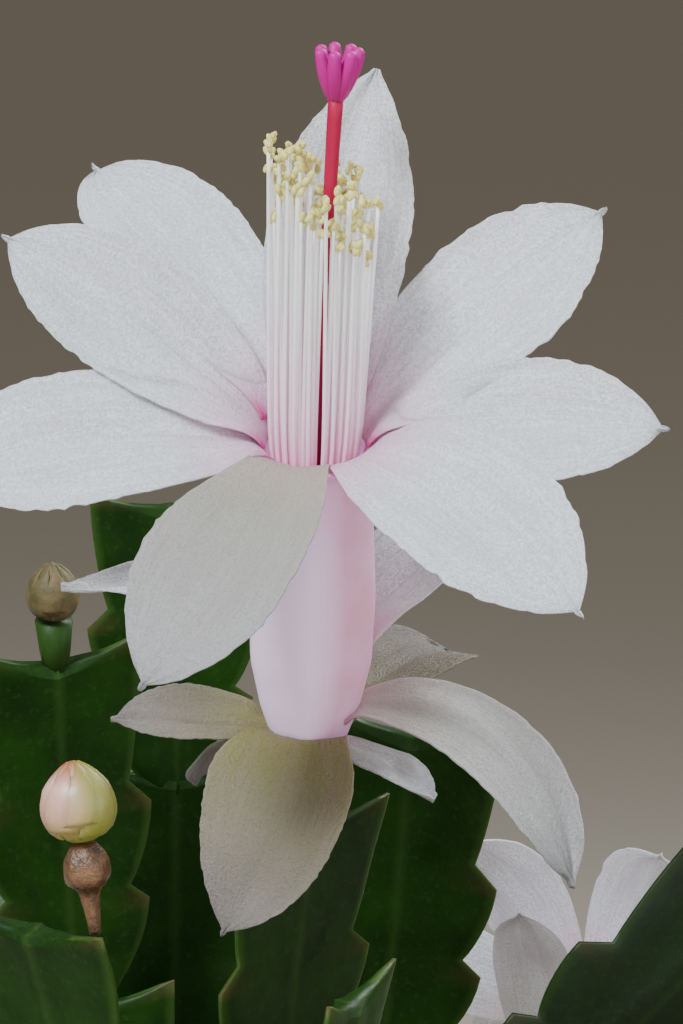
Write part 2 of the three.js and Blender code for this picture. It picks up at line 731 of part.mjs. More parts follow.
const cactus = new THREE.Group();

function addMesh(parent, name, solid, look) {
  const material = new THREE.MeshStandardMaterial({ ...MATERIALS[look], metalness: 0 });
  const mesh = new THREE.Mesh(geometryOf(solid), material);
  mesh.name = name;
  parent.add(mesh);
}

// A whole flower, standing on base along axis, with backward giving its upper side
function addFlower(name, base, axis, backward, tepals, { filaments, lobes }) {
  const { x, y, z } = flowerAxes(axis, backward);
  const flower = new THREE.Group();
  flower.position.copy(base);
  flower.quaternion.setFromRotationMatrix(new THREE.Matrix4().makeBasis(x, y, z));
  addMesh(flower, `${name}_tepals`, union([tubeSolid(), ...tepals.map(tepalSolid)]), "petal");
  addMesh(flower, `${name}_stamens`, stamenSolid(filaments), "stamen");
  addMesh(flower, `${name}_pistil`, pistilSolid(lobes), "pistil");
  cactus.add(flower);
}

const grown = Object.fromEntries(STEMS.map((stem) => [stem.name, growStem(stem)]));

// Where a flower stands on a stem: on an ovary that carries on from the tip, lifted by some degrees
function seatFlower(stem, lift) {
  const end = turned(grown[stem].ends[0], grown[stem].ends[0].across, -lift);
  const base = end.point.clone().addScaledVector(end.along, OVARY.length);
  return { base, axis: end.along, back: end.face };
}

function addOvary(stem, base, axis) {
  grown[stem].solids.push(ovarySolid(base, axis));
}

const plain = [...MIDDLE, ...LOWER].map((t) => ({ ...t, detail: PLAIN_TEPAL }));
addFlower("flower", FLOWER_BASE, FLOWER_AXIS, vec(0, 1, 0), [...UPPER, ...plain], LARGE_COUNTS);
addOvary("stem_flower", FLOWER_BASE, FLOWER_AXIS);
for (const [stem, lift] of [
  ["stem_flower_right", 8],
  ["stem_flower_back", -28],
]) {
  const { base, axis, back } = seatFlower(stem, lift);
  addFlower(stem.replace("stem_", ""), base, axis, back, SMALL, SMALL_COUNTS);
  addOvary(stem, base, axis);
}

// The bud in front stands on a shrivelled brown stalk with a dry ball on it
const budTip = grown.stem_bud.ends[0];
const budAxis = vec(FRONT_BUD.lean, 0, 1).normalize();
const budFoot = budTip.point.clone().addScaledVector(budTip.across, FRONT_BUD.across);
budFoot.addScaledVector(budTip.along, FRONT_BUD.up);
const stalk = DRY_STALK.map(([s]) => budFoot.clone().addScaledVector(budAxis, s));
const stalkRadii = DRY_STALK.map(([, r]) => r);
addMesh(cactus, "bud_front_stalk", rodSolid(stalk, stalkRadii, DRY_STALK_SIDES), "stalk");
const budBase = stalk[stalk.length - 1];
addMesh(cactus, "bud_front", budSolid(budBase, budAxis, FRONT_BUD.length, FRONT_BUD.radius), "bud");

// Other buds sit straight on an ovary at the tip of their stem
for (const [stem, end, length, radius] of [
  ["stem_left", 0, 6.5, 2.6],
  ["stem_outer_2", 1, 14, 4.2],
  ["stem_outer_4", 0, 18, 4.6],
  ["stem_outer_6", 0, 12, 4],
  ["stem_back", 0, 16, 4.4],
]) {
  const { point, along } = grown[stem].ends[end];
  const neck = [-NECK.sunk, NECK.sunk, NECK.reach].map((s) => point.clone().addScaledVector(along, s));
  grown[stem].solids.push(rodSolid(neck, NECK.radii, OVARY.sides));
  addMesh(cactus, stem.replace("stem", "bud"), budSolid(neck[neck.length - 1], along, length, radius), "bud");
}

for (const [name, { solids }] of Object.entries(grown)) addMesh(cactus, name, union(solids), "stem");
addMesh(cactus, "soil", soilSolid(Object.values(grown).map(({ foot }) => foot)), "soil");
addMesh(cactus, "pot", potSolid(), "clay");

export default cactus;
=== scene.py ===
import math

import bpy
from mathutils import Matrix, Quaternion, Vector, noise


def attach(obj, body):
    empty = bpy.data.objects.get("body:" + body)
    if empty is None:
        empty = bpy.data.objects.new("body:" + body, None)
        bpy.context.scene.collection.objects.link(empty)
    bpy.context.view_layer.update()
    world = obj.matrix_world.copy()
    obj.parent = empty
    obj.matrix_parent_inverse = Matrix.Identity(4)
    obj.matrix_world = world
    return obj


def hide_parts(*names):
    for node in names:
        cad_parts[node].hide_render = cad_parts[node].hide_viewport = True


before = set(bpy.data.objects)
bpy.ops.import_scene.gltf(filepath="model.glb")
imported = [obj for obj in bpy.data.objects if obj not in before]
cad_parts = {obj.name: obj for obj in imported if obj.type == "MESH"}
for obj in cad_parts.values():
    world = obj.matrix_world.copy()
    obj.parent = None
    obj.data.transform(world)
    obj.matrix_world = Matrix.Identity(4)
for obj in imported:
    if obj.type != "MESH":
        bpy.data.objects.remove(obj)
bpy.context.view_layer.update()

MM = 0.001  # in metres
METRE = 1000  # in millimetres
UP = Vector((0, 0, 1))


class Values:
    """Named values, read with a dot."""

    def __init__(self, **values):
        for key, value in values.items():
            setattr(self, key, value)


# Pot and soil
POT = Values(
    height=108, base=43, neck=57, rim=65, rim_height=24, wall=5, floor=7, mouth_inset=3,
    knee_out=2, knee_drop=4, holes=3, hole_radius=5, hole_circle=20,
)
SOIL = Values(top=98, mound=3, reach=55, edge=55.4, under_edge=54, depth=8)

# Stem segments
SEGMENT = Values(
    width=21, midrib=2.8, edge=0.9, cup=0.1, bend=10, sink=1.6, tip_share=0.965, middle_share=0.97,
    least_width=0.88, width_range=0.24, ripple=0.35, columns=14,
)
# Each stretch of margin runs from a notch to a tooth, as share of the length and of the half width
SCALLOPS = [((0, 0.2), (0.31, 0.98)), ((0.35, 0.76), (0.57, 1.06)), ((0.63, 0.8), (1.03, 1.0))]
MARGIN = Values(steps=8, swell=0.85, round=0.96, hook=0.04, red_from=0.93, red=5)
# The last rows of a segment: share of the length, share of the half width, redness
TIP_ROWS = [(1.02, 0.86, 0.1), (0.99, 0.56, 0.0)]
WOODY = Values(outline=[(0, 0.2), (0.6, 0.62), (1, 0.42)], rows=14, width=0.72, thickness=1.6)
# The foot of a stem: height over the foot's point, radius
COLLAR = [(-6, 3.0), (-2, 2.9), (0.5, 2.6), (2.5, 1.6)]
# The outer stems stand in a ring, where one place is left to the flower at the back. They lean by the pitch,
# and bearing, more_pitch, turn and roll are how much they differ; all of these are in degrees.
OUTER = Values(
    places=8, flower=4, start=-112, radius=46, height=SOIL.top + 1.5,
    bearing=8, pitch=24, more_pitch=6, turn=8, roll=16,
)

# Flowers
TUBE = [(0, 3.3), (2, 4.0), (5, 5.0), (9.6, 6.0), (16, 6.2), (24, 5.8), (30.6, 5.4)]
MOUTH = Values(height=30.6, slope=3.5, dip=0.6, wall=0.65, floor=8)
CROWN = 31  # where the upper tepals leave the tube
TEPAL = Values(
    thickness=0.6, thinning=0.35, inset=0.4, taper=2.2, tip=0.3, rise=0.3, bend=0.09, twist=0.18, cup=0.2,
    columns=16,
)
# What holds for a tepal that says nothing else
PLAIN_TEPAL = dict(early=1, side=0, root=0.4, widest=0.55, point=0.75, turn=0, more=0, green=0, blunt=False)
# The small sharp end of a tepal: share of its length, half its width in mm
SPUR = [(1.008, 0.32), (1.018, 0.24), (1.027, 0.1)]
OVARY = Values(length=9.5, foot=2.0, top=3.1, sink=1.5)
FILAMENT = Values(
    radius=0.17, inner=2.0, outer=4.15, foot=9.5, gathered=0.92, knee=36, flare=1.18,
    spread=1.34, low=53, high=60, slant=0.6, turn=137.508, sway=1.2,
)
# An anther: distance from its middle, radius
ANTHER = [(-0.5, 0.1), (-0.36, 0.24), (-0.1, 0.32), (0.16, 0.3), (0.4, 0.2), (0.5, 0.08)]
STYLE = Values(foot=9, end=66.3, thin=0.45, thick=0.75, lean=(1.2, 0.8), sink=0.6)
STYLE_GAP = Values(middle=0.35, half=0.26)  # across the front of the sheaf
STIGMA = Values(length=4.9, radius=2.15)
# A lobe of the stigma below its drawn tip: share of the length, share of the radius
LOBE = [(0, 0.1), (0.18, 0.3), (0.48, 0.58), (0.77, 0.8)]

# Buds
# A bud's outline: share of its length, share of its radius
BUD_OUTLINE = [
    (0, 0.42), (0.06, 0.62), (0.14, 0.82), (0.27, 0.96), (0.4, 1), (0.54, 0.96), (0.68, 0.86), (0.8, 0.68),
    (0.9, 0.45), (0.97, 0.24), (1, 0.1),
]
BUD = Values(gap=0.3, core=0.97, scales=7, rows=12, spread=0.75)
# The green foot under a bud: distance along the stem's end, radius
BUD_FOOT = [(-1.5, 1.2), (1.5, 1.7), (5.3, 2.1)]
# The buds on tips of stems: stem, which of its tips, length, radius
BUDS = [
    ("stem_left", 0, 6.5, 2.6), ("stem_outer_2", 1, 14, 4.2), ("stem_outer_4", 0, 18, 4.6),
    ("stem_outer_6", 0, 12, 4), ("stem_back", 0, 16, 4.4),
]
FRONT_BUD = Values(across=8.2, along=0.7, sink=0.2, lean=-0.12, length=7.8, radius=3.4)
# Its shrivelled stalk with the dry ball: height, radius
DRY_STALK = [(0.9, 0.55), (3.4, 0.8), (5.2, 1.1), (6.2, 2.1), (8.2, 2.2), (10, 1.2)]

# Camera and stage; the camera looks down by the angle above, in degrees
CAMERA = Values(above=8, distance=420, picture_height=102.4, sensor=36, right=3.35, up=23.3)
FLOOR = Values(size=60 * METRE, drop=0.2)


def mouth_lift(back):
    """How much higher the mouth is than at its sides, for a share of the way to its back."""
    return back * (MOUTH.slope if back > 0 else MOUTH.dip)


def tepal(az, length, width, start, end, height=None, **more):
    """A tepal by its bearing round the flower, its size in mm, and its angles off the flower's axis."""
    if height is None:
        height = CROWN + mouth_lift(math.sin(math.radians(az)))
    size = dict(az=az, length=length, width=width, start=start, end=end, height=height)
    return Values(**{**PLAIN_TEPAL, **size, **more})


UPPER = [
    tepal(84, 33.2, 14, 12, 12, root=0.6, widest=0.5, point=0.9, side=-0.12, blunt=True),
    tepal(132, 35, 15, 48, 70, widest=0.6, point=0.55, turn=10, more=10),
    tepal(168, 32, 14, 50, 63, turn=25, more=35),
    tepal(193, 33, 14, 78, 108, widest=0.6, turn=35, more=20),
    tepal(18, 32, 14.5, 45, 54, turn=-30, more=-20),
    tepal(348, 30, 12.6, 70, 91, turn=-35, more=-30),
    # This tepal is white; its green mark is painted shade.
    tepal(250, 30, 15.5, 103, 143, side=-0.2, green=0.75),
    tepal(312, 33.5, 15, 80, 116, early=1.4, turn=-30, more=-10),
]
MIDDLE = [
    tepal(190, 19, 6.5, 80, 92, 15.9, turn=5),
    tepal(40, 22, 12, 40, 80, 9),
    tepal(98, 21, 10, 55, 95, 13),
]
# In the lower tepals the green mark is their own olive tint and also painted shade from the tepals above.
LOWER = [
    tepal(190, 16.5, 7.5, 75, 94, 1.5, turn=25, green=1.6),
    tepal(258, 22, 14.5, 110, 162, 1.5, early=2, root=0.55, widest=0.32, point=0.8, side=-0.22, green=1.5),
    tepal(322, 13, 5.5, 90, 112, 0.8, green=0.45),
    tepal(350, 32.5, 9.5, 70, 165, 3, early=1.3, turn=-20, more=-20, green=0.65),
    tepal(46, 18, 13, 58, 105, 1.5, widest=0.68, point=0.3, green=1.5, blunt=True),
    tepal(158, 12.5, 9.5, 108, 155, 1, green=0.8),
]


def small_tepals():
    """Two even tiers, with the back tepals held more upright."""
    tiers = []
    for i in range(7):
        az = 90 + 360 / 7 * i
        back = math.sin(math.radians(az))
        tiers.append(tepal(az, 29, 13, 62 - 30 * back, 95 - 50 * back))
    for i in range(5):
        # The lower tier's green mark is an olive tint and also painted shade.
        tiers.append(tepal(54 + 72 * i, 21 + 4 * (i % 2), 10, 75, 135, 2.5, green=0.6))
    return tiers


# The kinds of flower; rows is how finely a tepal is drawn along its length
LARGE = Values(tepals=UPPER + MIDDLE + LOWER, rows=60, filaments=116, lobes=7)
SMALL = Values(tepals=small_tepals(), rows=26, filaments=34, lobes=6)


def draw(n):
    """A repeatable share from 0 to 1 for a whole number, as in the part."""
    s = math.sin(n * 12.9898 + 4.1) * 43758.5453
    return s - math.floor(s)


def polar(r, a, z=0):
    """The point at a radius and an angle in radians round the z axis."""
    return Vector((r * math.cos(a), r * math.sin(a), z))


def round_angles(sides):
    """That many even angles in radians."""
    return [2 * math.pi * k / sides for k in range(sides)]


def square_to(axis):
    """Two directions square to an axis and to each other."""
    across = Vector((0, 1, 0)).cross(axis).normalized()
    return across, axis.cross(across)


def spin(vectors, axis, degrees):
    """The vectors turned about an axis."""
    q = Quaternion(axis, math.radians(degrees))
    return [q @ v for v in vectors]


# Mesh helpers
def make_object(name, points, faces, places, material):
    """A smooth mesh object in metres from points in mm, with their place values where there are any."""
    mesh = bpy.data.meshes.new(name)
    mesh.from_pydata([p * MM for p in points], [], faces)
    if places:
        layer = mesh.color_attributes.new("place", "FLOAT_COLOR", "POINT")
        layer.data.foreach_set("color", [c for value in places for c in (*value, 1.0)])
    mesh.shade_smooth()
    mesh.materials.append(material)
    obj = bpy.data.objects.new(name, mesh)
    bpy.context.scene.collection.objects.link(obj)
    return obj


class Shape:
    """Collects points, faces and a place value for each point.

    A place is what the materials read: the share along a piece, the share across or round it, and a mark.
    The mark is how green a tepal is, which tints it olive, partly its own colour and partly painted shade;
    how red a segment is; or 1 on the stigma.
    """

    def __init__(self):
        self.points = []
        self.faces = []
        self.places = []

    def add(self, points, faces, places=None):
        base = len(self.points)
        self.points += points
        self.faces += [tuple(base + k for k in f) for f in faces]
        self.places += places or [(0.5, 0.5, 0.0)] * len(points)

    def build(self, name, material, slot, node):
        """The finished piece, which stands in for a node of the frame."""
        obj = make_object(name, self.points, self.faces, self.places, material)
        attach(obj, "root")
        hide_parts(node)
        return obj


class Blade:
    """A thin piece as rows of points on its front and its back, with one place value for each pair."""

    def __init__(self):
        self.front = []
        self.back = []
        self.places = []

    def start_row(self):
        for rows in (self.front, self.back, self.places):
            rows.append([])

    def add(self, front, back, place):
        self.front[-1].append(front)
        self.back[-1].append(back)
        self.places[-1].append(place)

    def close(self, shape):
        """Adds both faces to a shape, joined by a rim."""
        rows, columns = len(self.front), len(self.front[0])
        size = rows * columns
        faces = []
        for i in range(rows - 1):
            for j in range(columns - 1):
                a, b = i * columns + j, (i + 1) * columns + j
                faces.append((a, a + 1, b + 1, b))
                faces.append((size + a, size + b, size + b + 1, size + a + 1))
        rim = list(range(columns))
        rim += [(i + 1) * columns - 1 for i in range(1, rows)]
        rim += [(rows - 1) * columns + j for j in range(columns - 2, -1, -1)]
        rim += [i * columns for i in range(rows - 2, 0, -1)]
        for k, a in enumerate(rim):
            b = rim[(k + 1) % len(rim)]
            faces.append((a, size + a, size + b, b))
        points = [p for row in self.front + self.back for p in row]
        shape.add(points, faces, [value for row in self.places * 2 for value in row])


def across_shares(columns):
    """Shares from -1 to 1 across a blade, set closer together towards its edges."""
    return [math.sin(math.pi / 2 * (2 * j / columns - 1)) for j in range(columns + 1)]


def ring_faces(rings, sides):
    """The faces between rings of points, each with that many sides."""
    faces = []
    for n in range(rings - 1):
        for k in range(sides):
            m = (k + 1) % sides
            faces.append((n * sides + k, n * sides + m, (n + 1) * sides + m, (n + 1) * sides + k))
    return faces


def capped_faces(rings, sides):
    """The same, with a flat end on the first and on the last ring."""
    first = tuple(range(sides - 1, -1, -1))
    last = tuple(range((rings - 1) * sides, rings * sides))
    return ring_faces(rings, sides) + [first, last]


def add_rod(shape, path, radii, sides, mark=0.0, wave=None):
    """A closed round rod along a path, with a radius at each point."""
    points, places = [], []
    last = len(path) - 1
    for i, p in enumerate(path):
        along = (path[min(i + 1, last)] - path[max(i - 1, 0)]).normalized()
        across, up = square_to(along)
        for a in round_angles(sides):
            r = radii[i] * (wave(a, i / last) if wave else 1)
            points.append(p + across * (r * math.cos(a)) + up * (r * math.sin(a)))
            places.append((i / last, 0.5, mark))
    shape.add(points, capped_faces(len(path), sides), places)


def smooth_path(points, steps):
    """A Catmull-Rom curve through points, with that many steps between two of them."""
    path = []
    for i in range(len(points) - 1):
        p0, p1, p2 = points[max(i - 1, 0)], points[i], points[i + 1]
        p3 = points[min(i + 2, len(points) - 1)]
        for k in range(steps):
            t = k / steps
            path.append(
                0.5 * (2 * p1 + (p2 - p0) * t + (2 * p0 - 5 * p1 + 4 * p2 - p3) * t**2
                       + (3 * p1 - p0 - 3 * p2 + p3) * t**3)
            )
    path.append(points[-1].copy())
    return path


def smooth_values(values, steps):
    """The same curve through plain numbers."""
    return [p.x for p in smooth_path([Vector((value, 0, 0)) for value in values], steps)]


def blend_values(pairs, x):
    """The value at x of a list of (x, value) pairs, on straight lines between them."""
    if x <= pairs[0][0]:
        return pairs[0][1]
    for (x0, y0), (x1, y1) in zip(pairs, pairs[1:]):
        if x <= x1:
            t = (x - x0) / (x1 - x0)
            return y0 + (y1 - y0) * t
    return pairs[-1][1]


# Materials
class Look:
    """A material with a few short ways to wire its nodes."""

    def __init__(self, name, roughness, **sockets):
        self.material = bpy.data.materials.new(name)
        self.material.use_nodes = True
        self.nodes = self.material.node_tree.nodes
        self.links = self.material.node_tree.links
        self.shader = self.nodes["Principled BSDF"]
        for key, value in {"Roughness": roughness, **sockets}.items():
            self.feed(self.shader.inputs[key.replace("_", " ")], value)
        self.where = self.nodes.new("ShaderNodeTexCoord").outputs["Object"]

    def feed(self, socket, value):
        """Links a socket to another node's output, or sets it to a plain value."""
        if isinstance(value, bpy.types.NodeSocket):
            self.links.new(value, socket)
        elif socket.type == "RGBA":
            socket.default_value = (*value, 1)
        else:
            socket.default_value = value

    def node(self, kind, inputs=(), **settings):
        made = self.nodes.new("ShaderNode" + kind)
        for key, value in settings.items():
            setattr(made, key, value)
        for key, value in dict(inputs).items():
            self.feed(made.inputs[key], value)
        return made

    def place(self):
        """The three place values, as Red, Green and Blue."""
        attribute = self.node("Attribute", attribute_name="place")
        return self.node("SeparateColor", {"Color": attribute.outputs["Color"]}).outputs

    def noise(self, per_mm, detail=3.0, rough=0.55, where=None):
        spots = {"Scale": per_mm * METRE, "Detail": detail, "Roughness": rough}
        return self.node("TexNoise", {"Vector": where or self.where, **spots}).outputs["Fac"]

    def ramp(self, value, *stops):
        """A ramp through (position, colour) stops, where a plain number is a grey."""
        made = self.node("ValToRGB", {"Fac": value})
        elements = made.color_ramp.elements
        while len(elements) < len(stops):
            elements.new(0.5)
        for element, (position, colour) in zip(elements, stops):
            element.position = position
            element.color = (*colour, 1) if isinstance(colour, tuple) else (colour, colour, colour, 1)
        return made.outputs["Color"]

    def mix(self, share, a, b, kind="MIX"):
        """Colour a with a share of colour b."""
        made = self.node("Mix", data_type="RGBA", blend_type=kind)
        for key, value in (("Factor", share), ("A", a), ("B", b)):
            self.feed(made.inputs[key], value)
        return [o for o in made.outputs if o.type == "RGBA" and o.enabled][0]

    def maths(self, kind, a, b=0.0):
        made = self.node("Math", operation=kind)
        for socket, value in zip(made.inputs, (a, b)):
            self.feed(socket, value)
        return made.outputs["Value"]

    def times(self, a, b):
        return self.maths("MULTIPLY", a, b)

    def bump(self, height, depth_mm, strength, below=None):
        """A normal bent by a height, on top of the one below if there is one."""
        inputs = {"Height": height, "Distance": depth_mm * MM, "Strength": strength}
        if below:
            inputs["Normal"] = below
        return self.node("Bump", inputs).outputs["Normal"]

    def finish(self, colour, normal=None, roughness=None):
        """Feeds the shader and gives back the material."""
        for key, value in (("Base Color", colour), ("Normal", normal), ("Roughness", roughness)):
            if value:
                self.feed(self.shader.inputs[key], value)
        return self.material


def under_skin(weight, radius, scale):
    """The sockets for light that sinks in: its share, its depth by colour in metres, and a scale of that."""
    return {"Subsurface_Weight": weight, "Subsurface_Radius": radius, "Subsurface_Scale": scale}


def petal_look():
    """White tepal skin: pink towards the root; fine lengthwise vein lines, darkened partly as painted shade
    of the folds; and a frosted sparkle painted as darker specks and white glints.
    """
    look = Look("tepal_skin", 0.42, **under_skin(0.3, (0.003, 0.0024, 0.0026), 0.6))
    place = look.place()
    u, v, green = place["Red"], place["Green"], place["Blue"]
    stretched = {"X": look.times(u, 0.9), "Y": look.times(v, 9.0)}
    veins_and_shade = look.noise(0.0026, 4, 0.6, look.node("CombineXYZ", stretched).outputs[0])
    mottle = look.noise(0.25, 3)
    grains = look.noise(3.4, 3, 0.75)
    white = look.ramp(mottle, (0.3, (0.83, 0.87, 0.93)), (0.7, (0.92, 0.96, 1.0)))
    # The vein lines are darkened partly as painted shade along the lengthwise folds, here and in the olive
    # tint below.
    white = look.mix(look.ramp(veins_and_shade, (0.4, 0.6), (0.62, 0.0)), white, (0.6, 0.57, 0.6))
    # Painted sparkle: the grains darken some specks as painted shade and turn others white as painted glints.
    white = look.mix(look.ramp(grains, (0.38, 0.9), (0.56, 0.0)), white, (0.55, 0.57, 0.64))
    white = look.mix(look.ramp(grains, (0.58, 0.0), (0.68, 1.0)), white, (1.0, 1.0, 1.0))
    # This is the tepals' own olive tint and also painted shade; the green mark sets how much of it a tepal
    # gets.
    beige_and_shade = look.ramp(u, (0.1, (0.23, 0.22, 0.06)), (0.45, (0.21, 0.2, 0.115)), (0.9, (0.2, 0.19, 0.165)))
    beige_and_shade = look.mix(look.ramp(veins_and_shade, (0.4, 0.35), (0.6, 0.0)), beige_and_shade, (0.3, 0.2, 0.19))
    cream_and_shade = look.mix(look.times(green, look.ramp(u, (0.1, 1.0), (0.9, 0.85))), white, beige_and_shade)
    upper = look.maths("MAXIMUM", look.maths("SUBTRACT", 1.0, green), 0.0)
    root = look.ramp(look.maths("ADD", u, look.times(veins_and_shade, 0.16)), (0.08, 1.0), (0.42, 0.0))
    pink = look.times(root, look.times(upper, 0.75))
    blush = look.mix(pink, cream_and_shade, (0.86, 0.42, 0.6))
    away = look.maths("ABSOLUTE", look.maths("SUBTRACT", v, 0.5))
    low, edges = look.ramp(u, (0.02, 1.0), (0.09, 0.0)), look.ramp(away, (0.28, 0.0), (0.45, 1.0))
    notch = look.times(look.times(low, edges), upper)
    spotted = look.mix(notch, blush, (0.7, 0.09, 0.34))
    normal = look.bump(grains, 0.3, 1.0, look.bump(veins_and_shade, 0.35, 0.7))
    return look.finish(spotted, normal, look.ramp(grains, (0.38, 0.6), (0.64, 0.18)))


def tube_look():
    """The tube's skin: greenish at its foot, pink above, rosier and darker at its right, where its own rose
    is deepened by painted shade, and a painted glow that stands in for light shining through it.
    """
    # The emission is a painted glow that brightens the tube as light shining through it would.
    look = Look(
        "tube_skin", 0.4, Emission_Color=(0.78, 0.5, 1.0), Emission_Strength=0.2,
        **under_skin(0.3, (0.003, 0.002, 0.0022), 0.7),
    )
    place = look.place()
    low, high = (0.1, (0.95, 0.76, 0.94)), (0.75, (0.97, 0.78, 1.0))
    pink = look.ramp(place["Red"], (0.0, (0.62, 0.6, 0.36)), low, high, (1.0, (0.93, 0.5, 0.78)))
    # Painted shade: the right side is mixed towards a darker rose.
    shaded_right = look.mix(look.ramp(place["Green"], (0.5, 0.0), (0.78, 0.9)), pink, (0.6, 0.24, 0.26))
    streaks = look.noise(0.18, 4)
    tinted = look.mix(look.ramp(streaks, (0.45, 0.0), (0.7, 0.3)), shaded_right, (0.8, 0.58, 0.75))
    return look.finish(tinted, look.bump(look.noise(2.6, 2), 0.08, 0.6))


def stem_look(name, shade):
    """Dark green segment skin with paler margins and midrib and reddish teeth; shade is painted shade that
    darkens all of it.
    """
    look = Look(
        name, 0.45, Specular_IOR_Level=0.16, Coat_Weight=0.02, Coat_Roughness=0.3,
        **under_skin(0.08, (0.001, 0.002, 0.0006), 0.5),
    )
    place = look.place()
    across = look.maths("ABSOLUTE", look.maths("SUBTRACT", place["Green"], 0.5))
    body = look.ramp(look.noise(0.12, 4), (0.3, (0.005, 0.022, 0.0018)), (0.7, (0.012, 0.05, 0.0035)))
    speckle = look.mix(look.ramp(look.noise(1.3, 3), (0.56, 0.0), (0.72, 0.45)), body, (0.026, 0.068, 0.014))
    rim = look.mix(look.ramp(across, (0.44, 0.0), (0.5, 0.6)), speckle, (0.05, 0.105, 0.018))
    rib = look.mix(look.ramp(across, (0.0, 0.4), (0.05, 0.0)), rim, (0.035, 0.08, 0.014))
    reddish = look.mix(look.times(place["Blue"], 0.65), rib, (0.18, 0.035, 0.03))
    # Painted shade: every colour is multiplied by shade, which is 1 for the plain skin.
    shaded = look.mix(1.0, reddish, (shade, shade, shade), "MULTIPLY")
    normal = look.bump(look.noise(1.9, 3), 0.07, 0.6)
    return look.finish(shaded, normal, look.ramp(look.noise(0.5), (0.3, 0.4), (0.7, 0.55)))


def plain_look(name, dark, light, roughness, per_mm, depth):
    """A skin that varies between two colours, with fine bumps."""
    look = Look(name, roughness)
    colour = look.ramp(look.noise(per_mm, 4), (0.32, dark), (0.68, light))
    return look.finish(colour, look.bump(look.noise(per_mm * 5, 3), depth, 0.7))


def bud_look():
    """A bud's skin: green at its foot, salmon above, brown at its very tip, and greener at its right."""
    look = Look("bud_skin", 0.4, **under_skin(0.2, (0.002, 0.0015, 0.0012), 0.6))
    place = look.place()
    low, high = (0.35, (0.62, 0.34, 0.22)), (0.75, (0.7, 0.42, 0.34))
    salmon = look.ramp(place["Red"], (0.05, (0.3, 0.32, 0.05)), low, high, (0.97, (0.42, 0.1, 0.05)))
    greener = look.mix(look.ramp(place["Green"], (0.3, 0.0), (0.75, 0.85)), salmon, (0.24, 0.27, 0.03))
    return look.finish(greener, look.bump(look.noise(1.2, 3), 0.1, 0.6))


def filament_look():
    """Filaments with a painted glow that lightens the shade between them, pink below and white above."""
    look = Look("filament_skin", 0.4, Emission_Strength=0.11, **under_skin(0.6, (0.004, 0.003, 0.0035), 1.0))
    place = look.place()
    colour = look.ramp(place["Red"], (0.44, (0.93, 0.4, 0.64)), (0.84, (0.97, 0.94, 0.96)))
    # The painted glow takes the filaments' own colour.
    look.feed(look.shader.inputs["Emission Color"], colour)
    return look.finish(colour)


def pistil_look():
    """A crimson style, darker below, under a magenta stigma."""
    look = Look("pistil_skin", 0.5, Specular_IOR_Level=0.3, **under_skin(0.1, (0.001, 0.0004, 0.0005), 0.5))
    place = look.place()
    style = look.ramp(place["Red"], (0.3, (0.14, 0.002, 0.04)), (0.65, (0.4, 0.002, 0.05)))
    head = look.ramp(place["Red"], (0.0, (0.4, 0.001, 0.14)), (1.0, (0.5, 0.001, 0.26)))
    return look.finish(look.mix(place["Blue"], style, head), look.bump(look.noise(1.4), 0.06, 0.6))


def clay_look():
    """Red clay with grit in it and a chalky bloom in patches."""
    look = Look("terracotta", 0.85)
    base = look.ramp(look.noise(0.03, 5, 0.6), (0.3, (0.36, 0.1, 0.04)), (0.7, (0.52, 0.17, 0.075)))
    grit = look.mix(look.ramp(look.noise(1.4, 4), (0.55, 0.0), (0.75, 0.5)), base, (0.3, 0.085, 0.035))
    bloom = look.ramp(look.noise(0.045, 6, 0.7), (0.52, 0.0), (0.74, 0.5))
    chalky = look.mix(bloom, grit, (0.68, 0.46, 0.36))
    normal = look.bump(look.noise(1.1, 5), 0.14, 0.6)
    return look.finish(chalky, normal, look.ramp(look.noise(0.3), (0.3, 0.74), (0.7, 0.94)))


def soil_look():
    """Dark potting mix, in crumbs of different browns."""
    look = Look("potting_mix", 0.95)
    crumbs = look.node("TexVoronoi", {"Vector": look.where, "Scale": 0.42 * METRE, "Randomness": 1.0})
    shade = look.node("SeparateColor", {"Color": crumbs.outputs["Color"]}).outputs["Red"]
    dark, middle, light = (0.012, 0.008, 0.006), (0.04, 0.026, 0.017), (0.08, 0.05, 0.03)
    colour = look.ramp(shade, (0.0, dark), (0.6, middle), (0.9, light))
    normal = look.bump(look.noise(0.8, 5, 0.7), 0.8, 0.9)
    return look.finish(colour, look.bump(crumbs.outputs["Distance"], 0.9, 0.6, normal))


PETAL_SKIN = petal_look()
TUBE_SKIN = tube_look()
STEM_SKIN = stem_look("stem_skin", 1.0)
# The same skin with painted shade, for stem_right, which stands in shade.
SHADED_STEM_SKIN = stem_look("shaded_stem_skin", 0.35)
FILAMENT_SKIN = filament_look()
POLLEN = plain_look("pollen", (0.62, 0.54, 0.12), (0.86, 0.8, 0.34), 0.8, 1.5, 0.12)
PISTIL_SKIN = pistil_look()
STALK_SKIN = plain_look("dry_stalk", (0.055, 0.024, 0.01), (0.22, 0.11, 0.05), 0.34, 0.7, 0.2)
BUD_SKIN = bud_look()
OLD_BUD_SKIN = plain_look("old_bud_skin", (0.07, 0.06, 0.018), (0.17, 0.12, 0.045), 0.6, 0.5, 0.1)
CLAY = clay_look()
MIX = soil_look()
PERLITE = plain_look("perlite", (0.62, 0.6, 0.56), (0.85, 0.84, 0.8), 0.9, 0.9, 0.3)
BARK = plain_look("bark_chip", (0.05, 0.03, 0.018), (0.16, 0.09, 0.05), 0.9, 0.5, 0.4)


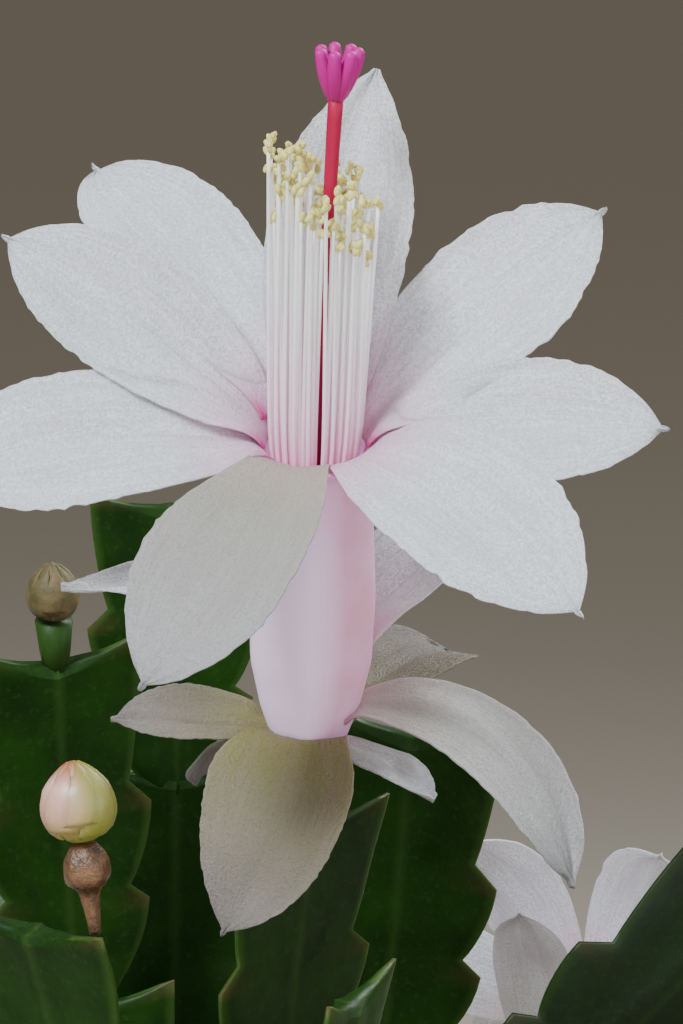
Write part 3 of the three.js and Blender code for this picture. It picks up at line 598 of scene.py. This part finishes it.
# Stem growth
def start_frame(point, heading, pitch):
    """Where a stem starts and how it lies: its directions along, across and out of its face."""
    h, p = math.radians(heading), math.radians(pitch)
    along = polar(math.sin(p), h, math.cos(p))
    across = UP.cross(polar(1, h))
    return Values(point=point, along=along, across=across, face=across.cross(along))


def turned(f, axis, degrees):
    """The same point with its directions turned about an axis."""
    along, across, face = spin([f.along, f.across, f.face], axis, degrees)
    return Values(point=f.point, along=along, across=across, face=face)


def moved(f, step):
    """The same directions, from a point that lies a step along."""
    return Values(point=f.point + f.along * step, along=f.along, across=f.across, face=f.face)


def along_segment(f, length, bend, share):
    """Where a frame comes to at a share of a segment that bends evenly."""
    steps = 6
    for _ in range(steps):
        f = turned(f, f.across, bend * share / steps)
        f = moved(f, length * share / steps)
    return f


def margin_rows(woody):
    """(share of length, share of half width, redness) down one margin of a segment."""
    if woody:
        shares = [i / WOODY.rows for i in range(WOODY.rows + 1)]
        return [(x, blend_values(WOODY.outline, x), 0.0) for x in shares]
    rows = []
    for (s0, h0), (s1, h1) in SCALLOPS:
        for i in range(MARGIN.steps + 1):
            t = i / MARGIN.steps
            rise = math.sin(math.pi / 2 * t) ** MARGIN.swell * MARGIN.round + MARGIN.hook * t**4
            red = max(0.0, t - MARGIN.red_from) * MARGIN.red
            rows.append((s0 + (s1 - s0) * t, h0 + (h1 - h0) * rise, red))
    return rows + TIP_ROWS


def add_segment(shape, f, length, width, bend, woody, seed):
    """One fine segment: a swollen midrib, thin margins and sharp teeth."""
    rows = margin_rows(woody)
    tip = SEGMENT.tip_share
    thin, fat = SEGMENT.edge / 2, SEGMENT.midrib / 2
    thickness, rippled = (WOODY.thickness, 0) if woody else (1, SEGMENT.ripple)
    blade = Blade()
    for i, (share, half, red) in enumerate(rows):
        end = i == len(rows) - 1
        middle = along_segment(f, length, bend, tip if end else min(share, tip * SEGMENT.middle_share))
        edge = along_segment(f, length, bend, share)
        h = width / 2 * half
        blade.start_row()
        for v in across_shares(SEGMENT.columns):
            reach = abs(v)
            point = middle.point.lerp(edge.point, reach**1.5)
            across = middle.across.lerp(edge.across, reach)
            face = middle.face.lerp(edge.face, reach).normalized()
            bulge = 0.45 * math.exp(-((v / 0.1) ** 2)) + 0.55 * (1 - reach**1.6)
            t = (thin * (1 - reach**8 * 0.6) + (fat - thin) * bulge) * thickness
            ripple = rippled * noise.noise(Vector((share * 4, v * 2, seed * 3.7)))
            c = point + across * (h * v) + face * (SEGMENT.cup * h * reach + ripple * reach)
            blade.add(c + face * t, c - face * t, (share, v / 2 + 0.5, red * reach**4))
    blade.close(shape)


def grow_chain(f, rows, shape, ends, count, level=0):
    """Grows segments as the part does. A row that is a list holds forks, and shape is None for a trial.

    count holds how many segments the stem has so far.
    """
    for i, row in enumerate(rows):
        if isinstance(row, list):
            for fork in row:
                grow_chain(f, fork, shape, ends, count, level + i)
            return
        length, droop, turn, roll = (*row, 0, 0, 0)[:4]
        f = turned(f, f.across, droop)
        f = turned(f, f.face, turn)
        f = turned(f, f.along, roll)
        woody = level + i == 0
        drawn = SEGMENT.least_width + SEGMENT.width_range * draw(count[0] * 7 + round(length * 10))
        width = SEGMENT.width * (WOODY.width if woody else drawn)
        bend = 0 if woody else SEGMENT.bend
        start = moved(f, -SEGMENT.sink)
        whole = length + SEGMENT.sink
        if shape:
            add_segment(shape, start, whole, width, bend, woody, count[0])
        count[0] += 1
        f = along_segment(start, whole, bend, SEGMENT.tip_share)
        if i == len(rows) - 1:
            ends.append(f)


def grow_stem(placed, point, heading, pitch, rows):
    """A stem placed by its first tip or by its foot: its shape, and the frames at its tips."""
    foot = Vector(point)
    if placed == "tip":
        trial = []
        grow_chain(start_frame(Vector(), heading, pitch), rows, None, trial, [0])
        foot = foot - trial[0].point
    shape, ends = Shape(), []
    grow_chain(start_frame(foot, heading, pitch), rows, shape, ends, [0])
    add_rod(shape, [Vector((foot.x, foot.y, foot.z + z)) for z, _ in COLLAR], [r for _, r in COLLAR], 14, 0.3)
    return Values(shape=shape, ends=ends)


FLOWER_BASE = Vector((0, -24, 206))
TILT, LEAN = math.radians(12), math.radians(1.4)
FLOWER_AXIS = Vector((math.sin(LEAN), -math.sin(TILT), math.cos(TILT))).normalized()
FLOWER_TIP = FLOWER_BASE - FLOWER_AXIS * OVARY.length


def stem_list():
    """Every stem, as in the part: name, which end is placed, where, heading, pitch and segments."""
    mound = SOIL.top + SOIL.mound
    return [
        ("stem_flower", "tip", FLOWER_TIP, -90, 2, [(28,), (34, -4, 3, 16), (36, -2, -2, 32)]),
        ("stem_bud", "tip", (-27, -33, 189.2), -105, 4, [(26,), (32, 0, 4, -8), (34, 0, -3, -14)]),
        ("stem_behind", "tip", (11, 9, 200.5), -80, -4, [(28,), (36, 0, 3, -14), (40, 0, -10, -10)]),
        ("stem_front", "tip", (4, -43, 184.5), -18, -2, [(26,), (31, -4), (35, -4)]),
        ("stem_left", "tip", (-28, 17, 207), -95, -8, [(30,), (40, 2, 5, 10), (44, 4, 0, 10)]),
        ("stem_tall", "tip", (-16, 34, 222), -85, -8,
         [(24,), (34, 0, 3, 6), (34, -4, -3, -8), (34, -4, 2, 6)]),
        ("stem_right", "tip", (44, -33, 192), -8, -6, [(22,), (27,), (27, 6), (36, 28, 0, 108)]),
        ("stem_flower_right", "foot", (30, 13, mound), 25, 12, [(26,), (34, 10), (34, 8, 6)]),
        ("stem_flower_back", "foot", (16, 39, mound), 74, 20, [(22,), (30, 26)]),
        ("stem_back", "foot", (-28, 32, mound), 125, 14, [(28,), (38, 12), [[(36, 8, 30)], [(34, 6, -30)]]]),
        *outer_stems(),
    ]


def outer_stems():
    """The stems that arch over the rim. Every second one is forked."""
    stems = []
    for i in range(OUTER.places):
        if i == OUTER.flower:
            continue
        bearing = OUTER.start + 360 / OUTER.places * i + OUTER.bearing * (draw(i + 3) - 0.5)
        pitch = OUTER.pitch + OUTER.more_pitch * draw(i + 23)
        turn = OUTER.turn * (draw(i + 33) - 0.5)
        roll = OUTER.roll * (draw(i + 43) - 0.5)
        end = [[(34, 20, 26)], [(32, 16, -27)]] if i % 2 else (38, 22, turn, roll)
        foot = polar(OUTER.radius, math.radians(bearing), OUTER.height)
        name = f"stem_outer_{i + 1 if i < OUTER.flower else i}"
        stems.append((name, "foot", foot, bearing, pitch, [(24,), (36, 22, turn, roll), end]))
    return stems


# Flowers
def tube_radius(z):
    return blend_values(TUBE, z)


def tepal_lift(u, v, half, seed):
    """How far a tepal's skin stands off its middle line, in mm: a cup, a middle fold, waves and ridges."""
    settled = min(1, u * 4)
    fold = -0.5 * math.exp(-((v / 0.14) ** 2)) * math.sin(math.pi * min(1, u * 1.1))
    wave = 0.75 * noise.noise(Vector((u * 3.2, v * 1.3, seed * 1.7))) * settled
    ridge = 0.22 * math.sin(v * 10 + seed) * (1 - abs(v)) * settled
    return half * TEPAL.cup * v * v + fold + wave + ridge


def ragged_cut(u, v, seed):
    """The share by which a tepal's edge is frayed in or out, more towards its end."""
    frayed = 0.015 + 0.06 * max(0, u - 0.3)
    coarse, fine = [noise.noise(Vector((u * rate, math.copysign(3.0, v), seed * 2.3))) for rate in (23, 71)]
    return frayed * (coarse + 0.8 * fine) * abs(v) ** 5


def add_tepal(shape, t, to_world, seed, rows):
    """A fine tepal: the part's middle line and width, with a fold, waves and a finely cut edge."""
    out = polar(1, math.radians(t.az))
    aside = UP.cross(out)
    root, widest = t.root, t.widest

    def angle(u):
        opening = TEPAL.rise + (1 - TEPAL.rise) * min(1, u / TEPAL.bend)
        return math.radians(t.start + (t.end - t.start) * (1 - max(0.0, 1 - u) ** t.early)) * opening

    def along(u):
        return (out * math.sin(angle(u)) + UP * math.cos(angle(u)) + aside * (2 * t.side * u)).normalized()

    def half(u):
        if u < widest:
            share = root + (1 - root) * math.sin(math.pi / 2 * u / widest)
        else:
            share = (1 - ((u - widest) / (1 - widest)) ** TEPAL.taper) ** t.point
        return max(TEPAL.tip, t.width / 2 * share)

    p = out * (tube_radius(t.height) - TEPAL.inset) + UP * t.height
    blade = Blade()
    stations = [(i / rows, None) for i in range(rows + 1)] + ([] if t.blunt else SPUR)
    for i, (u, spur) in enumerate(stations):
        a = along(u)
        inner = out * -math.cos(angle(u)) + UP * math.sin(angle(u))
        inner = (inner - a * inner.dot(a)).normalized()
        twist = t.turn * min(1, u / TEPAL.twist) + t.more * u
        across, inner = spin([a.cross(inner), inner], a, -twist)
        h = spur or half(u)
        thick = TEPAL.thickness / 2 * (1 - TEPAL.thinning * u)
        blade.start_row()
        for v in across_shares(TEPAL.columns):
            c = p + across * (h * v * (1 + ragged_cut(u, v, seed))) + inner * tepal_lift(u, v, h, seed)
            side = inner * (thick * (1 - 0.55 * abs(v) ** 4))
            blade.add(to_world(c + side), to_world(c - side), (u, v / 2 + 0.5, t.green))
        if i + 1 < len(stations):
            step = stations[i + 1][0] - u
            p = p + along(u + step / 2) * (t.length * step)
    blade.close(shape)


def add_tube(shape, to_world):
    """The tube: a deep cup with shallow lengthwise ridges, whose mouth is higher at the back."""
    steps, sides = 30, 40
    heights = [i * MOUTH.height / steps for i in range(steps + 1)]
    profile = [(0, 0)] + [(z, tube_radius(z)) for z in heights]
    profile += [(z, tube_radius(z) - MOUTH.wall) for z in reversed(heights) if z > MOUTH.floor]
    profile += [(MOUTH.floor, 0.05)]
    points, places = [], []
    for n, (z, r) in enumerate(profile):
        inside = n > len(heights)
        share = max(0, z - MOUTH.floor) / (MOUTH.height - MOUTH.floor)
        for a in round_angles(sides):
            ridge = 1 + 0.03 * math.cos(5 * a + 0.8) * min(1, r) if 1 < n and not inside else 1
            x, y = r * ridge * math.cos(a), r * ridge * math.sin(a)
            points.append(to_world(Vector((x, y, z + share * mouth_lift(y / tube_radius(MOUTH.height))))))
            places.append((z / MOUTH.height, 0.2 if inside else math.cos(a) / 2 + 0.5, 0.0))
    shape.add(points, ring_faces(len(profile), sides), places)


def add_stamens(filaments, anthers, to_world, count):
    """A round sheaf of filaments, with three anthers at the end of each."""
    inner, outer = FILAMENT.inner, FILAMENT.outer
    for i in range(count):
        share = (i + 0.5) / count
        r = math.sqrt(inner**2 + (outer**2 - inner**2) * share) - FILAMENT.radius
        a = math.radians(FILAMENT.turn * i)
        if math.sin(a) < 0 and abs(r * math.cos(a) - STYLE_GAP.middle) < STYLE_GAP.half:
            continue  # the style shows through the front of the sheaf
        top = FILAMENT.low + (FILAMENT.high - FILAMENT.low) * draw(i + 11)
        top -= FILAMENT.slant * r * math.cos(a)
        wide = 1 + (FILAMENT.spread - 1) * (0.8 + 0.4 * draw(i + 51))
        sway = Vector((draw(i + 71) - 0.5, draw(i + 91) - 0.5, 0)) * FILAMENT.sway

        def at(z, s, bend=0.0, flare=1.0):
            return Vector((r * s * flare * math.cos(a), r * s * math.sin(a), z)) + sway * bend

        knots = [at(FILAMENT.foot, FILAMENT.gathered), at(MOUTH.height - MOUTH.slope, 1),
                 at(FILAMENT.knee, 1, 0.1, FILAMENT.flare), at(top, wide, 1)]
        path = smooth_path([to_world(p) for p in knots], 6)
        last = len(path) - 1
        add_rod(filaments, path, [FILAMENT.radius * (1.5 - 0.5 * k / last) for k in range(last + 1)], 6)
        add_anthers(anthers, to_world, at(top + 0.3, wide, 1), i * 3)


def add_anthers(anthers, to_world, end, seed):
    """Three anthers round the end of a filament, the first of them closest to it."""
    for n in range(3):
        k = seed + n
        tilt = Vector((draw(k + 111) - 0.5, draw(k + 131) - 0.5, 0.5)).normalized()
        shift = Vector((draw(k + 151) - 0.5, draw(k + 171) - 0.5, 1.3 * draw(k + 191) - 0.9))
        centre = end + shift * (1.0 if n else 0.2)
        add_rod(anthers, [to_world(centre + tilt * z) for z, _ in ANTHER], [r for _, r in ANTHER], 7)


def add_pistil(shape, to_world, lobes):
    """The style, which leans a little, and the lobes of the stigma on it."""
    foot, end = STYLE.foot, STYLE.end

    def at(z):
        share = (z - foot) / (end - foot)
        return Vector((STYLE.lean[0] * share**2, STYLE.lean[1] * share**2, z))

    steps = 24
    heights = [foot + (end + STYLE.sink - foot) * i / steps for i in range(steps + 1)]
    radii = [STYLE.thin + (STYLE.thick - STYLE.thin) * (z / end) ** 3 for z in heights]
    add_rod(shape, [to_world(at(z)) for z in heights], radii, 12)
    # Each lobe is a fat finger that leaves the style, swells outwards and closes in again at its tip
    for n, a in enumerate(round_angles(lobes)):
        out = polar(STIGMA.radius, a)
        knots = LOBE + [(1.0, 0.84 + 0.14 * draw(n + 5))]
        path = smooth_path([to_world(at(end + STIGMA.length * z) + out * r) for z, r in knots], 4)
        shares = [0.15 + k / len(path) * 0.85 for k in range(len(path) - 1)]
        fat = [0.42 + 0.36 * math.sin(math.pi * share) for share in shares] + [0.2]
        add_rod(shape, path, fat, 9, 1.0)


def add_ovary(shape, base, axis):
    """The green ovary between a stem's end and the tube."""
    length, foot, top = OVARY.length, OVARY.foot, OVARY.top
    depths = [length + OVARY.sink, length * 0.75, length * 0.3, 0.3]
    path = smooth_path([base - axis * s for s in depths], 4)
    add_rod(shape, path, smooth_values([foot * 0.7, foot, top * 0.92, top], 4), 16)


def make_flower(name, base, axis, backward, kind):
    """A flower in five pieces; backward is the direction that its raised back faces."""
    z = axis.normalized()
    y = (backward - z * backward.dot(z)).normalized()
    x = y.cross(z)

    def to_world(p):
        return base + x * p.x + y * p.y + z * p.z

    skin, tube, rods, pollen, pistil = Shape(), Shape(), Shape(), Shape(), Shape()
    for i, t in enumerate(kind.tepals):
        add_tepal(skin, t, to_world, i + 1, kind.rows)
    add_tube(tube, to_world)
    add_stamens(rods, pollen, to_world, kind.filaments)
    add_pistil(pistil, to_world, kind.lobes)
    skin.build(f"{name}_petals", PETAL_SKIN, "petal", f"{name}_tepals")
    tube.build(f"{name}_tube", TUBE_SKIN, "petal", f"{name}_tepals")
    rods.build(f"{name}_filaments", FILAMENT_SKIN, "stamen", f"{name}_stamens")
    pollen.build(f"{name}_anthers", POLLEN, "stamen", f"{name}_stamens")
    pistil.build(f"{name}_style", PISTIL_SKIN, "pistil", f"{name}_pistil")


# Buds
def add_bud(shape, base, axis, length, radius):
    """A drop of overlapping scales laid round a core, with their tips meeting at the top."""
    def at(share):
        return base + axis * (BUD.gap + length * share)

    def wave(a, s):
        return 1 + 0.03 * math.sin(3 * a + 5 * s)

    core = [w * radius * BUD.core for _, w in BUD_OUTLINE]
    add_rod(shape, [at(s) for s, _ in BUD_OUTLINE], core, 24, wave=wave)
    across, up = square_to(axis)
    for n, turn in enumerate(round_angles(BUD.scales)):
        start = turn + 0.4 * draw(n)
        low = 0.06 + 0.1 * (n % 3)
        scale = Blade()
        for i in range(BUD.rows + 1):
            s = low + (0.99 - low) * i / BUD.rows
            r = blend_values(BUD_OUTLINE, s) * radius
            spread = BUD.spread * (1 - (i / BUD.rows) ** 2.4) + 0.05
            scale.start_row()
            for j in range(7):
                v = j / 3 - 1
                a = start + spread * v + 0.5 * s
                skin = r * (1.0 + 0.05 * (1 - v * v)) + 0.1
                out = across * math.cos(a) + up * math.sin(a)
                scale.add(at(s) + out * (skin + 0.12), at(s) + out * (skin - 0.3), (s, out.x / 2 + 0.5, 0.0))
        scale.close(shape)


# Pot and soil
def revolve(shape, profile, sides, ripple):
    """A slightly uneven surface turned round the pot's axis; the profile starts and ends on the axis."""
    points = []
    for r, z in profile:
        for a in round_angles(sides):
            wobble = ripple * noise.noise(polar(1.5, a, z * 0.06))
            points.append(polar(max(r + wobble if r > 1 else r, 0.01), a, z))
    shape.add(points, ring_faces(len(profile), sides))


def rounded(corners):
    """A profile whose corners, given as (r, z, radius), are turned with that radius."""
    steps = 4
    profile = []
    for i, (r, z, turn) in enumerate(corners):
        if turn == 0:
            profile.append((r, z))
            continue
        here = Vector((r, z))
        before = (Vector(corners[i - 1][:2]) - here).normalized() * turn
        after = (Vector(corners[i + 1][:2]) - here).normalized() * turn
        for k in range(steps + 1):
            t = k / steps
            q = (here + before) * (1 - t) ** 2 + here * (2 * t * (1 - t)) + (here + after) * t**2
            profile.append((q.x, q.y))
    return profile


def finer_profile(profile, longest):
    """The profile in steps that are seldom longer than a length."""
    finer = []
    for (r0, z0), (r1, z1) in zip(profile, profile[1:]):
        parts = max(1, int(math.hypot(r1 - r0, z1 - z0) / longest))
        finer += [(r0 + (r1 - r0) * k / parts, z0 + (z1 - z0) * k / parts) for k in range(parts)]
    return finer + [profile[-1]]


def make_pot():
    """A clay pot with a collar rim and drain holes round a solid centre."""
    h, base, neck, rim = POT.height, POT.base, POT.neck, POT.rim
    collar, wall, floor = h - POT.rim_height, POT.wall, POT.floor
    mouth, knee = rim - wall - POT.mouth_inset, neck - wall + POT.knee_out
    corners = [
        (0, 0, 0), (base, 0, 1.4), (neck, collar, 1.2), (rim, collar, 1.6), (rim, h, 1.8), (mouth, h, 1.8),
        (knee, collar - POT.knee_drop, 3), (base - wall, floor, 3), (0, floor, 0),
    ]
    shape = Shape()
    revolve(shape, finer_profile(rounded(corners), 6), 120, 0.25)
    pot = shape.build("clay_pot", CLAY, "pot", "pot")
    for a in round_angles(POT.holes):
        cut_hole(pot, a + math.pi / 2)


def cut_hole(obj, a):
    """Cuts a drain hole through the pot's floor."""
    drill, past = Shape(), 5
    path = [polar(POT.hole_circle, a, z) for z in (-past, POT.floor + past)]
    add_rod(drill, path, [POT.hole_radius] * 2, 32)
    tool = make_object("drill", drill.points, drill.faces, None, CLAY)
    cutter = obj.modifiers.new("hole", "BOOLEAN")
    cutter.operation = "DIFFERENCE"
    cutter.solver = "EXACT"
    cutter.object = tool
    bpy.context.view_layer.objects.active = obj
    bpy.context.view_layer.update()
    with bpy.context.temp_override(object=obj, active_object=obj):
        bpy.ops.object.modifier_apply(modifier=cutter.name)
    bpy.data.objects.remove(tool, do_unlink=True)


def on_soil(r, a):
    """The point on the lumpy mound at a radius and an angle."""
    reach = min(1, r / SOIL.reach)
    rough = 0.9 * noise.noise(polar(r, a) * 0.12) + 0.5 * noise.noise(polar(r, a, 5) * 0.45)
    return polar(r, a, SOIL.top + SOIL.mound * (1 - reach * reach) + rough)


def make_soil():
    """A crumbly mound to the pot's wall, closed below, with bark chips and a little perlite on it."""
    rings, sides = 44, 120
    below = SOIL.top - SOIL.depth
    points, faces = [on_soil(0, 0)], []
    for i in range(1, rings + 1):
        points += [on_soil(SOIL.edge * i / rings, a) for a in round_angles(sides)]
    points += [polar(SOIL.under_edge, a, below) for a in round_angles(sides)]
    points.append(Vector((0, 0, below)))
    last = 1 + rings * sides
    for k in range(sides):
        m = (k + 1) % sides
        faces.append((0, 1 + k, 1 + m))
        for i in range(rings):
            a, b = 1 + i * sides, 1 + (i + 1) * sides
            faces.append((a + k, b + k, b + m, a + m))
        faces.append((last + k, len(points) - 1, last + m))
    shape = Shape()
    shape.add(points, faces)
    shape.build("potting_mix", MIX, "soil", "soil")
    scatter("bark_chips", BARK, 260, 1.1, 2.8, 0.45)
    scatter("perlite_grains", PERLITE, 60, 0.5, 1.1, 0.8)


def scatter(name, material, count, low, high, flat):
    """Rough little lumps lying on the soil, drawn by number, with sizes from low to high."""
    shape, sides, reach = Shape(), 6, 52
    # A lump: place along it from -1 to 1, share of its width
    outline = [(-1, 0.35), (-0.3, 1), (0.5, 0.9), (1, 0.3)]
    for n in range(count):
        a, r = 2 * math.pi * draw(n + 301), reach * math.sqrt(draw(n + 501))
        size = low + (high - low) * draw(n + 701)
        long = polar(1, 9 * a, 0.3 * (draw(n + 901) - 0.5)).normalized()
        wide = UP.cross(long).normalized()
        tall = long.cross(wide)
        centre = on_soil(r, a) + UP * (size * flat * 0.2)
        points = []
        for i, (z, s) in enumerate(outline):
            for k, b in enumerate(round_angles(sides)):
                g = s * (0.75 + 0.5 * draw(n * 31 + i * 7 + k))
                offset = long * (z * 0.9) + wide * (0.6 * g * math.cos(b)) + tall * (flat * g * math.sin(b))
                points.append(centre + offset * size)
        shape.add(points, capped_faces(len(outline), sides))
    shape.build(name, material, "soil", "soil")


# Plant
def make_plant():
    """Every stem with what it carries; the stems are built last, with their ovaries and the feet of buds."""
    grown = {name: grow_stem(*stem) for name, *stem in stem_list()}
    make_flower("flower", FLOWER_BASE, FLOWER_AXIS, Vector((0, 1, 0)), LARGE)
    add_ovary(grown["stem_flower"].shape, FLOWER_BASE, FLOWER_AXIS)
    for name, nod in (("flower_right", -8), ("flower_back", 28)):
        stem = grown[f"stem_{name}"]
        end = turned(stem.ends[0], stem.ends[0].across, nod)
        base = moved(end, OVARY.length).point
        make_flower(name, base, end.along, end.face, SMALL)
        add_ovary(stem.shape, base, end.along)
    make_front_bud(grown["stem_bud"].ends[0])
    for name, end, length, radius in BUDS:
        stem = grown[name]
        make_tip_bud(name.replace("stem", "bud"), stem.shape, stem.ends[end], length, radius)
    for name, stem in grown.items():
        # stem_right gets the skin with painted shade.
        skin = SHADED_STEM_SKIN if name == "stem_right" else STEM_SKIN
        stem.shape.build(f"{name}_segments", skin, "stem", name)


def make_tip_bud(name, stem, f, length, radius):
    """A bud on a stem's tip, with its green foot as part of the stem."""
    foot = [moved(f, s).point for s, _ in BUD_FOOT]
    add_rod(stem, foot, [r for _, r in BUD_FOOT], 16)
    bud = Shape()
    add_bud(bud, foot[-1], f.along, length, radius)
    bud.build(f"{name}_scales", OLD_BUD_SKIN if name == "bud_left" else BUD_SKIN, "bud", name)


def make_front_bud(tip):
    """The pale bud on its shrivelled brown stalk, with the dry ball below it."""
    def wave(a, s):
        return 1 + 0.08 * math.sin(5 * a + 9 * s)

    axis = Vector((FRONT_BUD.lean, 0, 1)).normalized()
    foot = tip.point + tip.across * FRONT_BUD.across + tip.along * FRONT_BUD.along
    path = smooth_path([foot + axis * (s - FRONT_BUD.sink) for s, _ in DRY_STALK], 4)
    stalk = Shape()
    add_rod(stalk, path, smooth_values([r for _, r in DRY_STALK], 4), 20, wave=wave)
    stalk.build("dry_stalk", STALK_SKIN, "stalk", "bud_front_stalk")
    bud = Shape()
    add_bud(bud, path[-1], axis, FRONT_BUD.length, FRONT_BUD.radius)
    bud.build("bud_front_scales", BUD_SKIN, "bud", "bud_front")


# Stage
def place_object(name, data, place, direction):
    """A camera or a lamp at a place in metres, looking in a direction."""
    obj = bpy.data.objects.new(name, data)
    obj.location = place
    obj.rotation_mode = "QUATERNION"
    obj.rotation_quaternion = direction.to_track_quat("-Z", "Y")
    bpy.context.scene.collection.objects.link(obj)
    return obj


def make_camera():
    """Looks at the large flower from a little above, framed as in the photograph at 0.1 mm a pixel."""
    sight = math.radians(CAMERA.above)
    forward = Vector((0, math.cos(sight), -math.sin(sight)))
    upward = Vector((0, math.sin(sight), math.cos(sight)))
    aim = FLOWER_BASE + Vector((CAMERA.right, 0, 0)) + upward * CAMERA.up
    data = bpy.data.cameras.new("camera")
    data.sensor_width = CAMERA.sensor
    data.lens = CAMERA.sensor * CAMERA.distance / CAMERA.picture_height
    data.clip_start, data.clip_end = 0.01, 100
    place = (aim - forward * CAMERA.distance) * MM
    bpy.context.scene.camera = place_object("camera", data, place, forward)


def make_light(name, place, power, size, colour, aim=(0, 0, 0.2)):
    """A square lamp by its place in metres, its power in watts and its size in metres."""
    data = bpy.data.lights.new(name, "AREA")
    data.energy, data.size, data.color = power, size, colour
    place_object(name, data, place, Vector(aim) - Vector(place))


def make_stage():
    """A wide pale floor, four lamps and a warm grey surround."""
    corners = [Vector((x, y, -FLOOR.drop)) for x, y in ((-1, -1), (1, -1), (1, 1), (-1, 1))]
    skin = plain_look("pale_floor", (0.52, 0.47, 0.4), (0.56, 0.51, 0.44), 0.9, 0.004, 0.0)
    floor = make_object("floor", corners, [(0, 1, 2, 3)], None, skin)
    floor.scale = (FLOOR.size / 2, FLOOR.size / 2, 1)
    make_light("key", (-0.35, -0.5, 0.75), 9.8, 0.22, (0.86, 0.94, 1.0))
    make_light("fill", (0.6, -0.35, 0.4), 2.2, 0.5, (0.88, 0.95, 1.0))
    make_light("low", (0.05, -0.8, 0.28), 1.9, 0.4, (0.96, 0.95, 1.0), (0, 0, 0.22))
    make_light("back", (0.3, 0.3, 0.6), 4.2, 0.3, (0.95, 0.98, 1.0))
    world = bpy.data.worlds.new("studio")
    bpy.context.scene.world = world
    world.use_nodes = True
    surround = world.node_tree.nodes["Background"].inputs
    surround["Color"].default_value = (0.8, 0.74, 0.64, 1)
    surround["Strength"].default_value = 0.27


make_plant()
make_soil()
make_pot()
make_camera()
make_stage()

bpy.context.view_layer.update()
